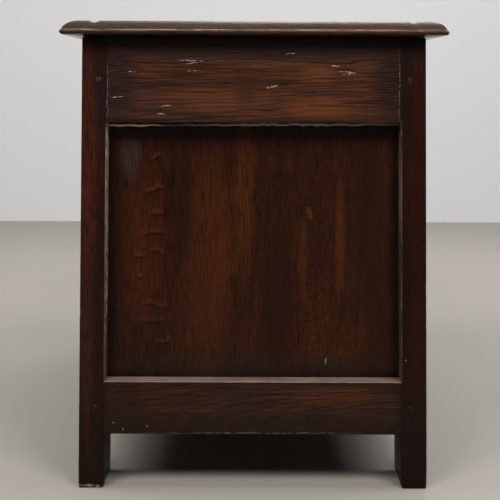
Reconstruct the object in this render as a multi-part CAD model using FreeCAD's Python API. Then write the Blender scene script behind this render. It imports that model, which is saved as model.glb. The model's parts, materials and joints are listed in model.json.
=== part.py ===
import FreeCAD, Part
import math
import os

# Joined oak mule chest: a box with a hinged lid over two drawers, side by side.
# Millimetres. Origin: middle of the footprint, on the floor. +X along the length, the front
# faces -Y, +Z up.

# ---------------------------------------------------------------- driving dimensions
# carcass
CARCASS_LENGTH = 1150.0
CARCASS_DEPTH = 500.0
CARCASS_HEIGHT = 649.0
FOOT_HEIGHT = 79.0
STILE_FACE = 90.0
STILE_SIDE = 37.0
FRAME_THICK = 30.0
END_FRAME_THICK = 42.0

# rails and muntins
END_TOP_RAIL = 122.0
BOTTOM_RAIL = 77.0
FRONT_TOP_RAIL = 72.0
MIDDLE_RAIL = 45.0
BACK_TOP_RAIL = 100.0
MUNTIN = 70.0
DRAWER_MUNTIN = 60.0
DRAWER_OPENING = 140.0

# panels, tenons and pegs
PANEL_THICK = 10.0
END_RECESS = 30.0
PANEL_RECESS = 14.0
GROOVE_DEPTH = 8.0
PANEL_PLAY = 1.0
TENON_THICK = 11.0
END_TENON = 26.0
RAIL_TENON = 38.0
MUNTIN_TENON = 18.0
TENON_INSET = 2.0
MORTISE_PLAY = 1.0
PEG_RADIUS = 4.5
PEG_PROUD = 0.8
PEG_SHORT = 3.0

# box floor
FLOOR_BOARD_THICK = 12.0
FLOOR_BOARDS = 5
BOARD_GAP = 0.6
LEDGE_WIDE = 23.0
LEDGE_HIGH = 14.0
LEDGE_LAP = 4.0

# drawer runners and guides
RUNNER_HIGH = 20.0
OUTER_RUNNER = 25.0
CENTRE_RUNNER_SIDE = 30.0
GUIDE_THICK = 20.0
GUIDE_HIGH = 20.0
CENTRE_GUIDE_HIGH = 30.0
GUIDE_PLAY = 1.0

# till
TILL_LENGTH = 135.0
TILL_HIGH = 108.0
TILL_TOP_DROP = 27.0
TILL_FRONT_THICK = 10.0
TILL_BOTTOM_THICK = 8.0
BEARER_WIDE = 12.0
BEARER_HIGH = 14.0

# lid
LID_THICK = 22.0
LID_OVERHANG = 23.5
LID_END_OVERHANG = 25.0
LID_CLEAT = 74.0
LID_TONGUE_THICK = 8.0
LID_TONGUE = 18.0
LID_TONGUE_INSET = 64.0
BOARD_TONGUE = 8.0
LID_PEG_RADIUS = 3.5
LID_PEG_PROUD = 0.3
NOSE_LOW = 5.0
NOSE_HIGH = 9.5
BEVEL_RUN = 26.0
THUMB_RUN = 28.0
CROWN_RUN = 42.0
GROOVE_RUN = 56.0
LID_GROOVE_DEEP = 3.0

# hinges
HINGE_X = 330.0
HINGE_WIDE = 44.0
HINGE_OUT = 5.8
HINGE_DROP = 3.0
KNUCKLE_RADIUS = 5.5
HINGE_PIN_RADIUS = 2.5
PIN_CLEARANCE = 0.3
KNUCKLE_GAP = 0.5
POCKET_CLEARANCE = 0.7
LEAF_THICK = 2.5
LEAF_HIGH = 86.0
STRAP_WIDE = 30.0
STRAP_LONG = 176.0
STRAP_END_RADIUS = 19.0
NAIL_HEAD_RADIUS = 4.0
NAIL_HEAD_HIGH = 1.2
NAIL_RADIUS = 1.5
NAIL_LONG = 12.0

# lock
LOCK_WIDE = 90.0
LOCK_HIGH = 62.0
LOCK_DEEP = 18.0
LOCK_WALL = 2.0
LOCK_TOP_DROP = 4.0
BOLT_LONG = 34.0
BOLT_THICK = 4.0
BOLT_HIGH = 6.0
BOLT_DROP = 9.0
BOLT_GAP = 0.3
BOLT_GUIDE_THICK = 4.0
STAPLE_THICK = 6.0
STAPLE_DEEP = 12.0
STAPLE_DROP = 20.0
STAPLE_HOLE_DEEP = 6.0
STAPLE_SLOT_GAP = 3.0
STAPLE_PLATE = 40.0
STAPLE_PLATE_THICK = 2.0
ESCUTCHEON_WIDE = 34.0
ESCUTCHEON_HIGH = 50.0
ESCUTCHEON_THICK = 1.5
KEYHOLE_RADIUS = 3.5
KEYHOLE_SLOT = 3.0
KEYHOLE_LONG = 12.0

# drawers
DRAWER_GAP = 1.5
DRAWER_FRONT_THICK = 22.0
DRAWER_SIDE_THICK = 12.0
DRAWER_SIDE_DROP = 8.0
DRAWER_RUN_GAP = 0.3
DRAWER_BACK_ROOM = 20.0
DRAWER_BACK_THICK = 12.0
DRAWER_BOTTOM_THICK = 8.0
DRAWER_BOTTOM_RISE = 8.0
DRAWER_GROOVE = 5.0
DRAWER_TAILS = 3
TAIL_LONG = 16.0
TAIL_NARROW = 22.0
TAIL_FLARE = 3.0

# drawer handles
HANDLE_SHARE = 0.25
HANDLE_RISE = 8.0
HANDLE_OUT = 12.0
HANDLE_HALF = 35.0
EYE_RADIUS = 5.5
EYE_WIDE = 6.0
POST_RADIUS = 3.5
NUT_RADIUS = 7.0
NUT_THICK = 4.0
PLATE_THICK = 2.0
PLATE_LOBE = 15.0
PLATE_DROP_LOBE = 19.0
PLATE_BAR_HIGH = 22.0
BAIL_RADIUS = 3.0
BAIL_PIN_RADIUS = 2.2
BAIL_PIN_PAST = 1.0
BAIL_ARM_OUT = 8.0
BAIL_DROP = 28.0
BAIL_CORNER = 14.0

# ---------------------------------------------------------------- derived places
HALF_LENGTH = CARCASS_LENGTH / 2
HALF_DEPTH = CARCASS_DEPTH / 2
STILE_X = HALF_LENGTH - STILE_FACE
STILE_Y = HALF_DEPTH - STILE_SIDE
FRAME_Y = HALF_DEPTH - FRAME_THICK
END_FRAME_X = HALF_LENGTH - END_FRAME_THICK
BOTTOM_TOP = FOOT_HEIGHT + BOTTOM_RAIL
MIDDLE_LOW = BOTTOM_TOP + DRAWER_OPENING
MIDDLE_TOP = MIDDLE_LOW + MIDDLE_RAIL
FRONT_TOP_LOW = CARCASS_HEIGHT - FRONT_TOP_RAIL
BACK_TOP_LOW = CARCASS_HEIGHT - BACK_TOP_RAIL
END_TOP_LOW = CARCASS_HEIGHT - END_TOP_RAIL
TENON_SHOULDER = GROOVE_DEPTH + TENON_INSET
END_PANEL_X = HALF_LENGTH - END_RECESS
END_PANEL_BACK = END_PANEL_X - PANEL_THICK
PANEL_Y = HALF_DEPTH - PANEL_RECESS
PANEL_BACK = PANEL_Y - PANEL_THICK
END_TENON_X = (HALF_LENGTH + END_FRAME_X) / 2
RAIL_TENON_Y = (HALF_DEPTH + FRAME_Y) / 2
FRONT_PANEL_WIDE = (2 * STILE_X - 2 * MUNTIN) / 3
FRONT_MUNTIN_X = (FRONT_PANEL_WIDE + MUNTIN) / 2
FLOOR_LOW = MIDDLE_LOW + LEDGE_HIGH - LEDGE_LAP
FLOOR_TOP = FLOOR_LOW + FLOOR_BOARD_THICK
LID_LOW = CARCASS_HEIGHT
LID_TOP = LID_LOW + LID_THICK
LID_HALF_LENGTH = HALF_LENGTH + LID_END_OVERHANG
LID_HALF_DEPTH = HALF_DEPTH + LID_OVERHANG
LID_CLEAT_X = LID_HALF_LENGTH - LID_CLEAT
TILL_X = END_FRAME_X - TILL_LENGTH
TILL_TOP = CARCASS_HEIGHT - TILL_TOP_DROP
TILL_LOW = TILL_TOP - TILL_HIGH
BEARER_LOW = TILL_LOW - BEARER_HIGH + TILL_BOTTOM_THICK
HINGE_Y = HALF_DEPTH + HINGE_OUT
HINGE_Z = CARCASS_HEIGHT - HINGE_DROP
LOCK_TOP = CARCASS_HEIGHT - LOCK_TOP_DROP
LOCK_LOW = LOCK_TOP - LOCK_HIGH
LOCK_Y = -(FRAME_Y - LOCK_DEEP / 2)
BOLT_TOP = LOCK_TOP - BOLT_DROP
KEYHOLE_Z = (LOCK_TOP + LOCK_LOW) / 2
DRAWER_INNER_X = DRAWER_MUNTIN / 2 + DRAWER_GAP
DRAWER_OUTER_X = STILE_X - DRAWER_GAP
DRAWER_FRONT_BACK = -(HALF_DEPTH - DRAWER_FRONT_THICK)
DRAWER_END = FRAME_Y - DRAWER_BACK_ROOM
DRAWER_LOW = BOTTOM_TOP + DRAWER_RUN_GAP
DRAWER_TOP = MIDDLE_LOW - DRAWER_SIDE_DROP
DRAWER_FLOOR = DRAWER_LOW + DRAWER_BOTTOM_RISE
HANDLE_Y = -(HALF_DEPTH + HANDLE_OUT)
HANDLE_Z = (BOTTOM_TOP + MIDDLE_LOW) / 2 + HANDLE_RISE

SIDES = (("left", -1), ("right", 1))


# ---------------------------------------------------------------- helpers
def at(x, y, z):
    return FreeCAD.Vector(x, y, z)


def block(x, y, z):
    """Box between the two values of each pair, in any order."""
    corner = at(min(x), min(y), min(z))
    return Part.makeBox(abs(x[1] - x[0]), abs(y[1] - y[0]), abs(z[1] - z[0]), corner)


def rod(radius, start, end):
    along = end.sub(start)
    return Part.makeCylinder(radius, along.Length, start, along)


def save(name, solids):
    """Write the separate solids of one node."""
    shape = Part.makeCompound([one for piece in solids for one in piece.Solids])
    shape.exportStep(os.path.join("parts", name + ".step"))


# ---------------------------------------------------------------- panels and their grooves
def end_panel(side, play=PANEL_PLAY):
    """End panel, or with no play the space of its groove."""
    reach = GROOVE_DEPTH - play
    x = (side * END_PANEL_BACK, side * END_PANEL_X)
    y = (-STILE_Y - reach, STILE_Y + reach)
    return block(x, y, (BOTTOM_TOP - reach, END_TOP_LOW + reach))


def long_panel(face, x_low, x_high, z_low, z_high, play=PANEL_PLAY):
    """Front or back panel, or with no play the space of its groove."""
    reach = GROOVE_DEPTH - play
    x = (x_low - reach, x_high + reach)
    return block(x, (face * PANEL_BACK, face * PANEL_Y), (z_low - reach, z_high + reach))


def front_panel(index, play=PANEL_PLAY):
    x_low = -STILE_X + index * (FRONT_PANEL_WIDE + MUNTIN)
    return long_panel(-1, x_low, x_low + FRONT_PANEL_WIDE, MIDDLE_TOP, FRONT_TOP_LOW, play)


def back_panel(side, play=PANEL_PLAY):
    x = sorted((side * STILE_X, side * MUNTIN / 2))
    return long_panel(1, x[0], x[1], BOTTOM_TOP, BACK_TOP_LOW, play)


def all_grooves():
    spaces = [end_panel(side, 0) for _, side in SIDES]
    spaces += [front_panel(index, 0) for index in range(3)]
    spaces += [back_panel(side, 0) for _, side in SIDES]
    return Part.makeCompound(spaces)


# ---------------------------------------------------------------- tenons and their mortises
def end_tenons(side, z_low, z_high, play=0):
    """Both tenons of an end rail, or with play their mortises."""
    x = (side * (END_TENON_X - TENON_THICK / 2), side * (END_TENON_X + TENON_THICK / 2))
    z = (z_low + TENON_SHOULDER, z_high - TENON_SHOULDER)
    reach = STILE_Y + END_TENON + play
    return [block(x, (face * STILE_Y, face * reach), z) for face in (-1, 1)]


def rail_tenons(face, z_low, z_high, play=0):
    """Both tenons of a front or back rail, or with play their mortises."""
    y = (face * (RAIL_TENON_Y - TENON_THICK / 2), face * (RAIL_TENON_Y + TENON_THICK / 2))
    z = (z_low + TENON_SHOULDER, z_high - TENON_SHOULDER)
    reach = STILE_X + RAIL_TENON + play
    return [block((side * STILE_X, side * reach), y, z) for _, side in SIDES]


def muntin_tenons(face, x_mid, wide, z_low, z_high, play=0):
    """Both stub tenons of a muntin, or with play their mortises."""
    half = wide / 2 - TENON_SHOULDER
    x = (x_mid - half, x_mid + half)
    y = (face * (RAIL_TENON_Y - TENON_THICK / 2), face * (RAIL_TENON_Y + TENON_THICK / 2))
    reach = MUNTIN_TENON + play
    return [block(x, y, (z_low, z_low - reach)), block(x, y, (z_high, z_high + reach))]


END_RAILS = ((FOOT_HEIGHT, BOTTOM_TOP), (END_TOP_LOW, CARCASS_HEIGHT))
FRONT_RAILS = ((FOOT_HEIGHT, BOTTOM_TOP), (MIDDLE_LOW, MIDDLE_TOP), (FRONT_TOP_LOW, CARCASS_HEIGHT))
BACK_RAILS = ((FOOT_HEIGHT, BOTTOM_TOP), (BACK_TOP_LOW, CARCASS_HEIGHT))
MUNTINS = (
    (-1, -FRONT_MUNTIN_X, MUNTIN, MIDDLE_TOP, FRONT_TOP_LOW),
    (-1, FRONT_MUNTIN_X, MUNTIN, MIDDLE_TOP, FRONT_TOP_LOW),
    (-1, 0.0, DRAWER_MUNTIN, BOTTOM_TOP, MIDDLE_LOW),
    (1, 0.0, MUNTIN, BOTTOM_TOP, BACK_TOP_LOW),
)


def stile_mortises():
    spaces = []
    for _, side in SIDES:
        for z_low, z_high in END_RAILS:
            spaces += end_tenons(side, z_low, z_high, MORTISE_PLAY)
    for face, rails in ((-1, FRONT_RAILS), (1, BACK_RAILS)):
        for z_low, z_high in rails:
            spaces += rail_tenons(face, z_low, z_high, MORTISE_PLAY)
    return Part.makeCompound(spaces)


def rail_mortises():
    spaces = []
    for muntin in MUNTINS:
        spaces += muntin_tenons(*muntin, MORTISE_PLAY)
    return Part.makeCompound(spaces)


# ---------------------------------------------------------------- pegs
def end_pegs():
    """One peg through the middle of each end joint, driven in from the end."""
    pegs = []
    for _, side in SIDES:
        for z_low, z_high in END_RAILS:
            for face in (-1, 1):
                y = face * (STILE_Y + END_TENON / 2)
                z = (z_low + z_high) / 2
                outer = side * (HALF_LENGTH + PEG_PROUD)
                inner = side * (END_FRAME_X + PEG_SHORT)
                pegs.append(rod(PEG_RADIUS, at(outer, y, z), at(inner, y, z)))
    return pegs


def long_peg(face, x, z):
    """A peg driven in from the front or the back."""
    outer = face * (HALF_DEPTH + PEG_PROUD)
    inner = face * (FRAME_Y + PEG_SHORT)
    return rod(PEG_RADIUS, at(x, outer, z), at(x, inner, z))


def long_pegs():
    """Two pegs in each broad front and back joint, one in the narrow middle rail."""
    pegs = []
    for face, rails in ((-1, FRONT_RAILS), (1, BACK_RAILS)):
        for z_low, z_high in rails:
            middle = (z_low + z_high) / 2
            spread = (z_high - z_low) / 2 - TENON_SHOULDER - 2 * PEG_RADIUS
            levels = (middle - spread, middle + spread) if spread > 2 * PEG_RADIUS else (middle,)
            for _, side in SIDES:
                pegs += [long_peg(face, side * (STILE_X + RAIL_TENON / 2), z) for z in levels]
    return pegs


def muntin_pegs():
    pegs = []
    for face, x_mid, _, z_low, z_high in MUNTINS:
        pegs.append(long_peg(face, x_mid, z_low - MUNTIN_TENON / 2))
        pegs.append(long_peg(face, x_mid, z_high + MUNTIN_TENON / 2))
    return pegs


# ---------------------------------------------------------------- frame members
def stile(side, face, spaces):
    x = (side * STILE_X, side * HALF_LENGTH)
    return block(x, (face * STILE_Y, face * HALF_DEPTH), (0, CARCASS_HEIGHT)).cut(spaces)


def end_rail(side, z_low, z_high, spaces):
    body = block((side * END_FRAME_X, side * HALF_LENGTH), (-STILE_Y, STILE_Y), (z_low, z_high))
    return body.fuse(end_tenons(side, z_low, z_high)).cut(spaces)


def long_rail(face, z_low, z_high, spaces):
    body = block((-STILE_X, STILE_X), (face * FRAME_Y, face * HALF_DEPTH), (z_low, z_high))
    return body.fuse(rail_tenons(face, z_low, z_high)).cut(spaces)


def muntin(face, x_mid, wide, z_low, z_high, spaces):
    x = (x_mid - wide / 2, x_mid + wide / 2)
    body = block(x, (face * FRAME_Y, face * HALF_DEPTH), (z_low, z_high))
    return body.fuse(muntin_tenons(face, x_mid, wide, z_low, z_high)).cut(spaces)


# ---------------------------------------------------------------- box floor and till
def floor_boards():
    """Boards from front to back between the stiles, and a shorter one beyond them at each end."""
    pitch = 2 * STILE_X / FLOOR_BOARDS
    boards = []
    for index in range(FLOOR_BOARDS):
        x_low = -STILE_X + index * pitch
        x = (x_low + BOARD_GAP / 2, x_low + pitch - BOARD_GAP / 2)
        boards.append(block(x, (-FRAME_Y, FRAME_Y), (FLOOR_LOW, FLOOR_TOP)))
    for _, side in SIDES:
        x = (side * (STILE_X + BOARD_GAP / 2), side * END_FRAME_X)
        boards.append(block(x, (-STILE_Y, STILE_Y), (FLOOR_LOW, FLOOR_TOP)))
    return boards


def floor_ledges():
    """Battens along the front and back, nailed to the stiles, that carry the box floor."""
    z = (FLOOR_LOW - LEDGE_HIGH, FLOOR_LOW)
    return [block((-END_FRAME_X, END_FRAME_X), (face * STILE_Y, face * (STILE_Y - LEDGE_WIDE)), z)
            for face in (-1, 1)]


def till_front():
    x = (-TILL_X, -TILL_X + TILL_FRONT_THICK)
    return block(x, (-FRAME_Y, FRAME_Y), (TILL_LOW, TILL_TOP))


def till_bottom():
    z = (TILL_LOW + TILL_BOTTOM_THICK, TILL_LOW + 2 * TILL_BOTTOM_THICK)
    return block((-END_FRAME_X, -TILL_X), (-STILE_Y, STILE_Y), z)


def till_bearers():
    x = (-END_FRAME_X, -STILE_X)
    z = (BEARER_LOW, TILL_LOW + TILL_BOTTOM_THICK)
    return [block(x, (face * STILE_Y, face * (STILE_Y - BEARER_WIDE)), z) for face in (-1, 1)]


# ---------------------------------------------------------------- drawer runners and guides
def drawer_runners():
    y = (-FRAME_Y, FRAME_Y)
    z = (BOTTOM_TOP - RUNNER_HIGH, BOTTOM_TOP)
    half = DRAWER_MUNTIN / 2 + CENTRE_RUNNER_SIDE
    runners = [block((-half, half), y, z)]
    for _, side in SIDES:
        runners.append(block((side * (STILE_X - OUTER_RUNNER), side * STILE_X), y, z))
    return runners


def drawer_guides():
    z_outer = (BOTTOM_TOP - RUNNER_HIGH, BOTTOM_TOP + GUIDE_HIGH)
    guides = []
    for _, side in SIDES:
        x = (side * STILE_X, side * (STILE_X + GUIDE_THICK))
        guides.append(block(x, (-STILE_Y, STILE_Y), z_outer))
    half = DRAWER_MUNTIN / 2 - GUIDE_PLAY
    guides.append(block((-half, half), (-FRAME_Y, FRAME_Y), (BOTTOM_TOP, BOTTOM_TOP + CENTRE_GUIDE_HIGH)))
    return guides


# ---------------------------------------------------------------- lid
def lid_section(half, place):
    """Face across the lid: thumb-moulded edges with a groove inside them.

    place(u, v) gives the point u from the middle of the lid and v above its underside.
    """
    edges = []
    for hand in (1, -1):
        def point(inward, height):
            return place(hand * (half - inward), height)

        nose = (NOSE_LOW + NOSE_HIGH) / 2
        nose_in = (NOSE_HIGH - NOSE_LOW) / 3
        groove_mid = (CROWN_RUN + GROOVE_RUN) / 2
        thumb_in = nose_in + (THUMB_RUN - nose_in) * 0.36
        thumb_high = NOSE_HIGH + (LID_THICK - NOSE_HIGH) * 0.68
        edges.append(Part.makeLine(place(0, 0), point(BEVEL_RUN, 0)))
        edges.append(Part.makeLine(point(BEVEL_RUN, 0), point(nose_in, NOSE_LOW)))
        edges.append(Part.Arc(point(nose_in, NOSE_LOW), point(0, nose), point(nose_in, NOSE_HIGH)).toShape())
        edges.append(Part.Arc(point(nose_in, NOSE_HIGH), point(thumb_in, thumb_high),
                              point(THUMB_RUN, LID_THICK)).toShape())
        edges.append(Part.makeLine(point(THUMB_RUN, LID_THICK), point(CROWN_RUN, LID_THICK)))
        edges.append(Part.Arc(point(CROWN_RUN, LID_THICK), point(groove_mid, LID_THICK - LID_GROOVE_DEEP),
                              point(GROOVE_RUN, LID_THICK)).toShape())
        edges.append(Part.makeLine(point(GROOVE_RUN, LID_THICK), place(0, LID_THICK)))
    return Part.Face(Part.Wire(Part.__sortEdges__(edges)))


def lid_blank():
    """The whole lid, with the same moulding on all four edges."""
    across = lid_section(LID_HALF_DEPTH, lambda u, v: at(-LID_HALF_LENGTH, u, LID_LOW + v))
    along = lid_section(LID_HALF_LENGTH, lambda u, v: at(u, -LID_HALF_DEPTH, LID_LOW + v))
    long_bar = across.extrude(at(2 * LID_HALF_LENGTH, 0, 0))
    cross_bar = along.extrude(at(0, 2 * LID_HALF_DEPTH, 0))
    return long_bar.common(cross_bar)


def lid_tongues(side, play=0):
    """Tongue across the end of both boards, or with play the cleat's groove."""
    middle = LID_LOW + LID_THICK / 2
    x = (side * LID_CLEAT_X, side * (LID_CLEAT_X + LID_TONGUE + play))
    y = LID_HALF_DEPTH - LID_TONGUE_INSET
    z = (middle - LID_TONGUE_THICK / 2, middle + LID_TONGUE_THICK / 2)
    return block(x, (-y - play, y + play), z)


def board_tongue(play=0):
    """Tongue of the front board along its joint, or with play the back board's groove.

    The groove runs out through the back board's end tongues.
    """
    middle = LID_LOW + LID_THICK / 2
    z = (middle - LID_TONGUE_THICK / 2, middle + LID_TONGUE_THICK / 2)
    reach = LID_CLEAT_X + (LID_TONGUE if play else 0)
    return block((-reach, reach), (0, BOARD_TONGUE + play), z)


def lid_board(blank, face, spaces):
    reach = LID_CLEAT_X + LID_TONGUE
    half = block((-reach, reach), (0, face * LID_HALF_DEPTH), (LID_LOW, LID_TOP))
    body = blank.common(block((-LID_CLEAT_X, LID_CLEAT_X), (0, face * LID_HALF_DEPTH), (LID_LOW, LID_TOP)))
    body = body.fuse([lid_tongues(side).common(half) for _, side in SIDES])
    if face < 0:
        return body.fuse(board_tongue()).cut(spaces)
    return body.cut(board_tongue(MORTISE_PLAY)).cut(spaces)


def lid_cleat(blank, side, spaces):
    x = (side * LID_CLEAT_X, side * LID_HALF_LENGTH)
    body = blank.common(block(x, (-LID_HALF_DEPTH, LID_HALF_DEPTH), (LID_LOW, LID_TOP)))
    return body.cut(lid_tongues(side, MORTISE_PLAY)).cut(spaces)


def lid_pegs():
    """Two pegs through each cleat into each board."""
    edge = LID_HALF_DEPTH - LID_TONGUE_INSET
    pegs = []
    for _, side in SIDES:
        x = side * (LID_CLEAT_X + LID_TONGUE / 2)
        for share in (-0.85, -0.3, 0.3, 0.85):
            top = at(x, edge * share, LID_TOP + LID_PEG_PROUD)
            pegs.append(rod(LID_PEG_RADIUS, at(x, edge * share, LID_LOW), top))
    return pegs


# ---------------------------------------------------------------- hinges
def knuckle(x_low, x_high, radius):
    return rod(radius, at(x_low, HINGE_Y, HINGE_Z), at(x_high, HINGE_Y, HINGE_Z))


def hinge_strap(side):
    """Long strap let into the lid's underside, with the middle knuckle."""
    x_mid = side * HINGE_X
    y_end = HINGE_Y - STRAP_LONG
    z = (LID_LOW, LID_LOW + LEAF_THICK)
    third = HINGE_WIDE / 6 - KNUCKLE_GAP
    plate = block((x_mid - STRAP_WIDE / 2, x_mid + STRAP_WIDE / 2), (y_end, STILE_Y), z)
    tail = block((x_mid - third, x_mid + third), (STILE_Y, HINGE_Y), z)
    bulb = rod(STRAP_END_RADIUS, at(x_mid, y_end, z[0]), at(x_mid, y_end, z[1]))
    rolled = knuckle(x_mid - third, x_mid + third, KNUCKLE_RADIUS)
    hole = knuckle(x_mid - HINGE_WIDE, x_mid + HINGE_WIDE, HINGE_PIN_RADIUS + PIN_CLEARANCE)
    return plate.fuse([tail, bulb, rolled]).cut(hole)


def hinge_leaf(side):
    """Leaf on the back rail, with the two outer knuckles."""
    x_mid = side * HINGE_X
    half = HINGE_WIDE / 2
    third = HINGE_WIDE / 6
    y = (HALF_DEPTH, HALF_DEPTH + LEAF_THICK)
    plate = block((x_mid - half, x_mid + half), y, (HINGE_Z - LEAF_HIGH, HINGE_Z))
    notch = block((x_mid - third, x_mid + third), y, (HINGE_Z - KNUCKLE_RADIUS - POCKET_CLEARANCE, HINGE_Z))
    rolled = [knuckle(x_mid - half, x_mid - third, KNUCKLE_RADIUS)]
    rolled.append(knuckle(x_mid + third, x_mid + half, KNUCKLE_RADIUS))
    hole = knuckle(x_mid - HINGE_WIDE, x_mid + HINGE_WIDE, HINGE_PIN_RADIUS)
    return plate.cut(notch).fuse(rolled).cut(hole)


def hinge_pin(side):
    x_mid = side * HINGE_X
    return knuckle(x_mid - HINGE_WIDE / 2, x_mid + HINGE_WIDE / 2, HINGE_PIN_RADIUS)


def hinge_pockets():
    """Room in the lid for the knuckles as they turn."""
    half = HINGE_WIDE / 2 + KNUCKLE_GAP
    radius = KNUCKLE_RADIUS + POCKET_CLEARANCE
    return [knuckle(side * HINGE_X - half, side * HINGE_X + half, radius) for _, side in SIDES]


def nail(head, into):
    """A clout nail: flat head on the surface at head, shank along the unit vector into."""
    top = rod(NAIL_HEAD_RADIUS, head, head.sub(into * NAIL_HEAD_HIGH))
    return top.fuse(rod(NAIL_RADIUS, head, head.add(into * NAIL_LONG)))


def leaf_nails():
    nails = []
    for _, side in SIDES:
        for drop in (0.35, 0.85):
            for hand in (-1, 1):
                x = side * HINGE_X + hand * HINGE_WIDE / 4
                head = at(x, HALF_DEPTH + LEAF_THICK, HINGE_Z - drop * LEAF_HIGH)
                nails.append(nail(head, at(0, -1, 0)))
    return nails


def strap_nails():
    nails = []
    for _, side in SIDES:
        for share in (0.45, 0.75, 1.0):
            nails.append(nail(at(side * HINGE_X, HINGE_Y - share * STRAP_LONG, LID_LOW), at(0, 0, 1)))
    return nails


# ---------------------------------------------------------------- lock
def staple_slot():
    """Space in the lock case that the staple drops into."""
    x = STAPLE_THICK / 2 + STAPLE_SLOT_GAP
    y = STAPLE_DEEP / 2 + STAPLE_SLOT_GAP / 2
    z_low = CARCASS_HEIGHT - STAPLE_DROP - STAPLE_SLOT_GAP
    return block((-x, x), (LOCK_Y - y, LOCK_Y + y), (z_low, CARCASS_HEIGHT))


def keyhole():
    """Round hole with a slot below it, through the plate, the rail and the case's front."""
    y_out = -HALF_DEPTH - 2 * ESCUTCHEON_THICK
    y_in = -FRAME_Y + 2 * LOCK_WALL
    hole = rod(KEYHOLE_RADIUS, at(0, y_out, KEYHOLE_Z), at(0, y_in, KEYHOLE_Z))
    slot = block((-KEYHOLE_SLOT / 2, KEYHOLE_SLOT / 2), (y_out, y_in), (KEYHOLE_Z - KEYHOLE_LONG, KEYHOLE_Z))
    return hole.fuse(slot)


def bolt_channel():
    x = (-LOCK_WIDE / 2 + LOCK_WALL, LOCK_WIDE / 2 - LOCK_WALL)
    y = BOLT_THICK / 2 + BOLT_GAP
    return block(x, (LOCK_Y - y, LOCK_Y + y), (BOLT_TOP - BOLT_HIGH - BOLT_GAP, BOLT_TOP + BOLT_GAP))


def lock_case():
    """Iron box on the inside of the front top rail, with two guides for the bolt."""
    half = LOCK_WIDE / 2
    y = (-FRAME_Y, -FRAME_Y + LOCK_DEEP)
    z = (LOCK_LOW, LOCK_TOP)
    inner_y = (y[0] + LOCK_WALL, y[1] - LOCK_WALL)
    inner = block((-half + LOCK_WALL, half - LOCK_WALL), inner_y, (z[0] + LOCK_WALL, z[1] - LOCK_WALL))
    shell = block((-half, half), y, z).cut(inner)
    guides = []
    slot_edge = STAPLE_THICK / 2 + STAPLE_SLOT_GAP
    for x in (-slot_edge - BOLT_GUIDE_THICK, -slot_edge - BOLT_LONG * 0.75, slot_edge):
        guides.append(block((x, x + BOLT_GUIDE_THICK), inner_y, (BOLT_TOP - 2 * BOLT_HIGH, z[1] - LOCK_WALL)))
    return shell.fuse(guides).cut([bolt_channel(), staple_slot(), keyhole()])


def lock_bolt():
    slot_edge = STAPLE_THICK / 2 + STAPLE_SLOT_GAP
    y = (LOCK_Y - BOLT_THICK / 2, LOCK_Y + BOLT_THICK / 2)
    return block((-slot_edge - BOLT_LONG, -slot_edge), y, (BOLT_TOP - BOLT_HIGH, BOLT_TOP))


def lock_staple_plate():
    y = (LOCK_Y - STAPLE_DEEP, LOCK_Y + STAPLE_DEEP)
    z = (LID_LOW, LID_LOW + STAPLE_PLATE_THICK)
    return block((-STAPLE_PLATE / 2, STAPLE_PLATE / 2), y, z)


def lock_staple():
    """Plate let into the lid, with a loop below it for the bolt."""
    half = STAPLE_THICK / 2
    loop = block((-half, half), (LOCK_Y - STAPLE_DEEP / 2, LOCK_Y + STAPLE_DEEP / 2),
                 (LID_LOW - STAPLE_DROP, LID_LOW))
    hole = block((-half, half), (LOCK_Y - STAPLE_HOLE_DEEP / 2, LOCK_Y + STAPLE_HOLE_DEEP / 2),
                 (BOLT_TOP - 1.5 * BOLT_HIGH, BOLT_TOP + BOLT_HIGH / 2))
    return lock_staple_plate().fuse(loop.cut(hole))


def escutcheon():
    """Keyhole plate with a rounded top and bottom."""
    y = (-HALF_DEPTH - ESCUTCHEON_THICK, -HALF_DEPTH)
    radius = ESCUTCHEON_WIDE / 2
    z_high = KEYHOLE_Z + ESCUTCHEON_HIGH / 2 - radius
    z_low = KEYHOLE_Z - ESCUTCHEON_HIGH / 2 + radius
    ends = [rod(radius, at(0, y[0], z), at(0, y[1], z)) for z in (z_low, z_high)]
    return block((-radius, radius), y, (z_low, z_high)).fuse(ends).cut(keyhole())


# ---------------------------------------------------------------- drawers
def drawer_x(side):
    return (side * DRAWER_INNER_X, side * DRAWER_OUTER_X)


def tails(side, edge, hand):
    """Dovetails on the front end of the drawer side whose outer face is at x = edge."""
    x = (edge, edge + hand * DRAWER_SIDE_THICK)
    pitch = (DRAWER_TOP - DRAWER_LOW) / DRAWER_TAILS
    made = []
    for index in range(DRAWER_TAILS):
        middle = DRAWER_LOW + (index + 0.5) * pitch
        root = TAIL_NARROW / 2
        tip = root + TAIL_FLARE
        corners = [(DRAWER_FRONT_BACK, middle - root), (DRAWER_FRONT_BACK - TAIL_LONG, middle - tip),
                   (DRAWER_FRONT_BACK - TAIL_LONG, middle + tip), (DRAWER_FRONT_BACK, middle + root)]
        outline = [at(x[0], y, z) for y, z in corners + corners[:1]]
        made.append(Part.Face(Part.makePolygon(outline)).extrude(at(x[1] - x[0], 0, 0)))
    return made


def drawer_bottom(side):
    """Board in grooves round three sides, passing under the drawer's back."""
    x = drawer_x(side)
    inset = DRAWER_SIDE_THICK - DRAWER_GROOVE
    y = (DRAWER_FRONT_BACK - DRAWER_GROOVE, DRAWER_END)
    z = (DRAWER_FLOOR, DRAWER_FLOOR + DRAWER_BOTTOM_THICK)
    return block((x[0] + side * inset, x[1] - side * inset), y, z)


def drawer_back(side):
    """Back board standing on the bottom, housed in the sides."""
    x = drawer_x(side)
    inset = DRAWER_SIDE_THICK - DRAWER_GROOVE
    y = (DRAWER_END - 2 * DRAWER_BACK_THICK, DRAWER_END - DRAWER_BACK_THICK)
    z = (DRAWER_FLOOR + DRAWER_BOTTOM_THICK, DRAWER_TOP)
    return block((x[0] + side * inset, x[1] - side * inset), y, z)


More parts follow.
